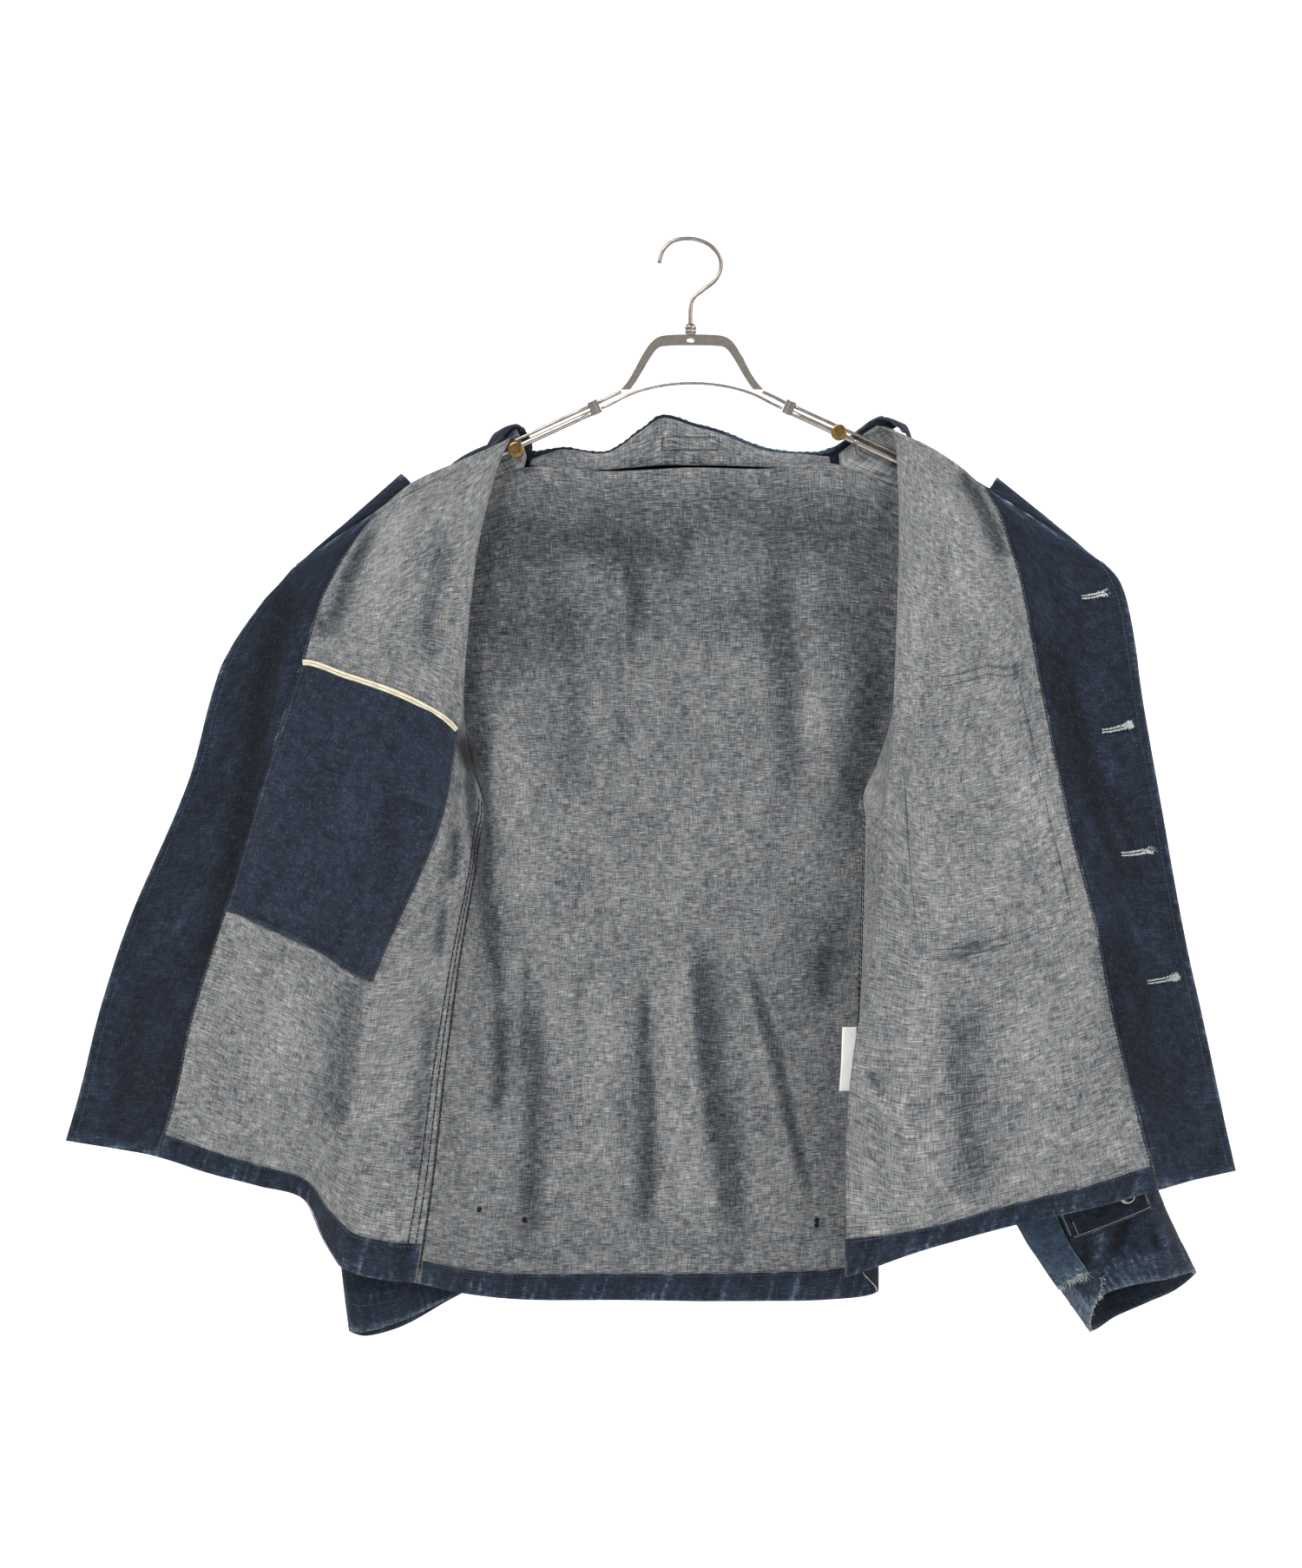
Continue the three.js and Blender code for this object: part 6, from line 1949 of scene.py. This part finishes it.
STRAP_OUTER = [[0, -77.35], [12, -77.5], [20, -77.9], [25, -78.5], [29, -79.8], [33, -82.6], [36, -86],
               [39.5, -91.5],
               [43, -97.5], [46.5, -104.5], [50, -111], [54, -117], [59.5, -123.4]]
STRAP_INNER = [[51, -123.4], [46.5, -117.2], [42, -110], [38.5, -103.8], [35, -98], [32, -93.4],
               [29.5, -90.3],
               [27, -88.4], [24, -87.5], [16, -87.0], [8, -86.8], [0, -86.8]]


def bent_strap():
    """A flat bar bent down on both sides: its two outlines joined across the front and the back,
    with rounded edges and an oval hole under the ferrule."""
    import bmesh
    half = STRAP_OUTER + STRAP_INNER
    outline = half + [[-x, z] for x, z in reversed(half) if x > 0]
    form = bmesh.new()
    outer = [form.verts.new((x / 1000, -0.001, z / 1000)) for x, z in outline]
    turn = np.linspace(0, 2 * np.pi, 24, endpoint=False)
    hole = [form.verts.new((-0.001 + 0.0029 * np.cos(a), -0.001,
                            -0.0826 + 0.0015 * np.sin(a))) for a in turn]
    edges = [form.edges.new((a, b)) for ring in (outer, hole) for a, b in zip(ring, ring[1:] + ring[:1])]
    bmesh.ops.triangle_fill(form, edges=edges, use_beauty=True)
    faces = list(form.faces)
    grown = bmesh.ops.extrude_face_region(form, geom=faces)
    for v in [g for g in grown["geom"] if isinstance(g, bmesh.types.BMVert)]:
        v.co.y += 0.002
    bmesh.ops.recalc_face_normals(form, faces=form.faces)
    mesh = bpy.data.meshes.new("strap_bent")
    form.to_mesh(mesh)
    form.free()
    mesh.materials.append(BRIGHT_STEEL)
    piece = bpy.data.objects.new("strap_bent", mesh)
    bpy.context.scene.collection.objects.link(piece)
    soft = piece.modifiers.new("edge", "BEVEL")
    soft.width, soft.segments, soft.limit_method, soft.angle_limit = 0.0004, 2, "ANGLE", math.radians(50)
    return piece


metal_piece(bent_strap(), "strap")

BOW_HALF = [[0, -118], [25, -120], [49, -126.3], [68.5, -135.9], [74.7, -138.7]]
BOW = [[-x, z] for x, z in BOW_HALF[::-1]] + BOW_HALF[1:]
metal_piece(round_bar("bow_wire", smooth_path(flat(BOW), 50), 0.0012, STEEL, 10), "bow_rod")

SLOPE, CLIP_X, CLIP_Z, ARM_LENGTH = 0.458, 80.5, -138.4, 132
ARM_ANGLE = math.atan(SLOPE)
for side, sign, rod_length in (("right", -1, 85), ("left", 1, 103)):
    along_arm = np.array([sign * math.cos(ARM_ANGLE), 0, -math.sin(ARM_ANGLE)])
    over_arm = np.array([sign * math.sin(ARM_ANGLE), 0, math.cos(ARM_ANGLE)])
    clip_place = np.array([sign * CLIP_X, 0, CLIP_Z]) / 1000

    def on_arm(distance, rise):
        return clip_place + (along_arm * distance + over_arm * rise) / 1000

    runs = {
        "arm_root": ([on_arm(-25, 3), on_arm(-14, 3), on_arm(-4.8, 2.6)], 0.0015, STEEL),
        "arm_rod": ([on_arm(4.8, 2.9), on_arm(40, 2.9), on_arm(rod_length, 2.9)], 0.0015, STEEL),
        "arm_tube": ([on_arm(4.8, -2.7), on_arm(70, -2.7), on_arm(ARM_LENGTH, -2.7)], 0.0025, BRIGHT_STEEL),
    }
    for node, (run, radius, finish) in runs.items():
        metal_piece(round_bar(f"{node}_{side}_round", smooth_path(run, 14), radius, finish, 18),
                    f"{node}_{side}")

    # The clip: a folded plate with rounded edges and a pressed rib along its face.
    s = np.array([-4.3, -4.0, -1.2, -0.8, 0.8, 1.2, 4.0, 4.3])
    r = np.array([-5.75, -5.4, -1.4, -1.0, 1.0, 1.4, 5.4, 5.75])
    gs, gr = np.meshgrid(s, r)
    rounded = np.minimum(np.minimum(gs + 4.3, 4.3 - gs), np.minimum(gr + 5.75, 5.75 - gr)).clip(0,
                                                                                                0.3) / 0.3
    rib = (np.abs(gs) < 1.0).astype(float) * 0.35
    depth = 2.65 + 0.3 * rounded + rib * (rounded > 0.9)
    face = clip_place + (along_arm * gs[..., None] + over_arm * gr[..., None]) / 1000
    front = face + np.array([0, -1, 0]) * depth[..., None] / 1000
    rear = face + np.array([0, 1, 0]) * (2.65 + 0.3 * rounded)[..., None] / 1000
    points = np.concatenate([front.reshape(-1, 3), rear.reshape(-1, 3)])
    n = len(s)
    j, i = np.meshgrid(np.arange(n - 1), np.arange(n - 1), indexing="ij")
    a = (j * n + i).ravel()
    near_faces = np.stack([a, a + 1, a + n + 1, a + n], 1)
    k = np.arange(n - 1)
    rim = np.concatenate([
        np.stack([k + 1, k, n * n + k, n * n + k + 1], 1),
        np.stack([n * (n - 1) + k, n * (n - 1) + k + 1, n * n + n * (n - 1) + k + 1,
                  n * n + n * (n - 1) + k], 1),
        np.stack([k * n, k * n + n, n * n + k * n + n, n * n + k * n], 1),
        np.stack([k * n + 2 * n - 1, k * n + n - 1, n * n + k * n + n - 1, n * n + k * n + 2 * n - 1], 1),
    ])
    faces = np.concatenate([near_faces, near_faces[:, ::-1] + n * n, rim])
    if sign < 0:
        faces = faces[:, ::-1]
    metal_piece(put(f"clip_{side}_plate", points, faces, [BRIGHT_STEEL], smooth=False), f"clip_{side}")

SCREW = np.array([(0.0008, 0), (0.0058, 0), (0.0064, 0.0003), (0.0068, 0.0009), (0.0068, 0.0026),
                  (0.0068, 0.0046),
                  (0.0068, 0.0060), (0.0064, 0.0067), (0.0056, 0.0070), (0.0034, 0.0068), (0.0031,
                                                            0.0064), (0.0008, 0.0064)])
for side, x, z in (("right", -145.5, -174), ("left", 121.7, -159.5)):
    place = np.array([x / 1000, -0.0025 - GAP, z / 1000])
    screw = turned_form(f"thumbscrew_{side}_knurled", SCREW, place, (0, -1, 0), BRASS, 72, smooth=False,
                        knurl=0.00045)
    metal_piece(screw, f"thumbscrew_{side}", "brass")
low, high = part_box("peg")
middle = np.array((low + high) / 2)
peg_axis = np.array([0.0, 1.0, 0.0])
PEG = np.array([(0.0004, -4.5), (0.0016, -4.5), (0.0020, -4.1), (0.0020, 3.6), (0.0018, 4.2), (0.0013, 4.5),
                (0.0004, 4.5)])
PEG[:, 1] /= 1000
metal_piece(turned_form("peg_turned", PEG, middle, peg_axis, STEEL, 20), "peg")
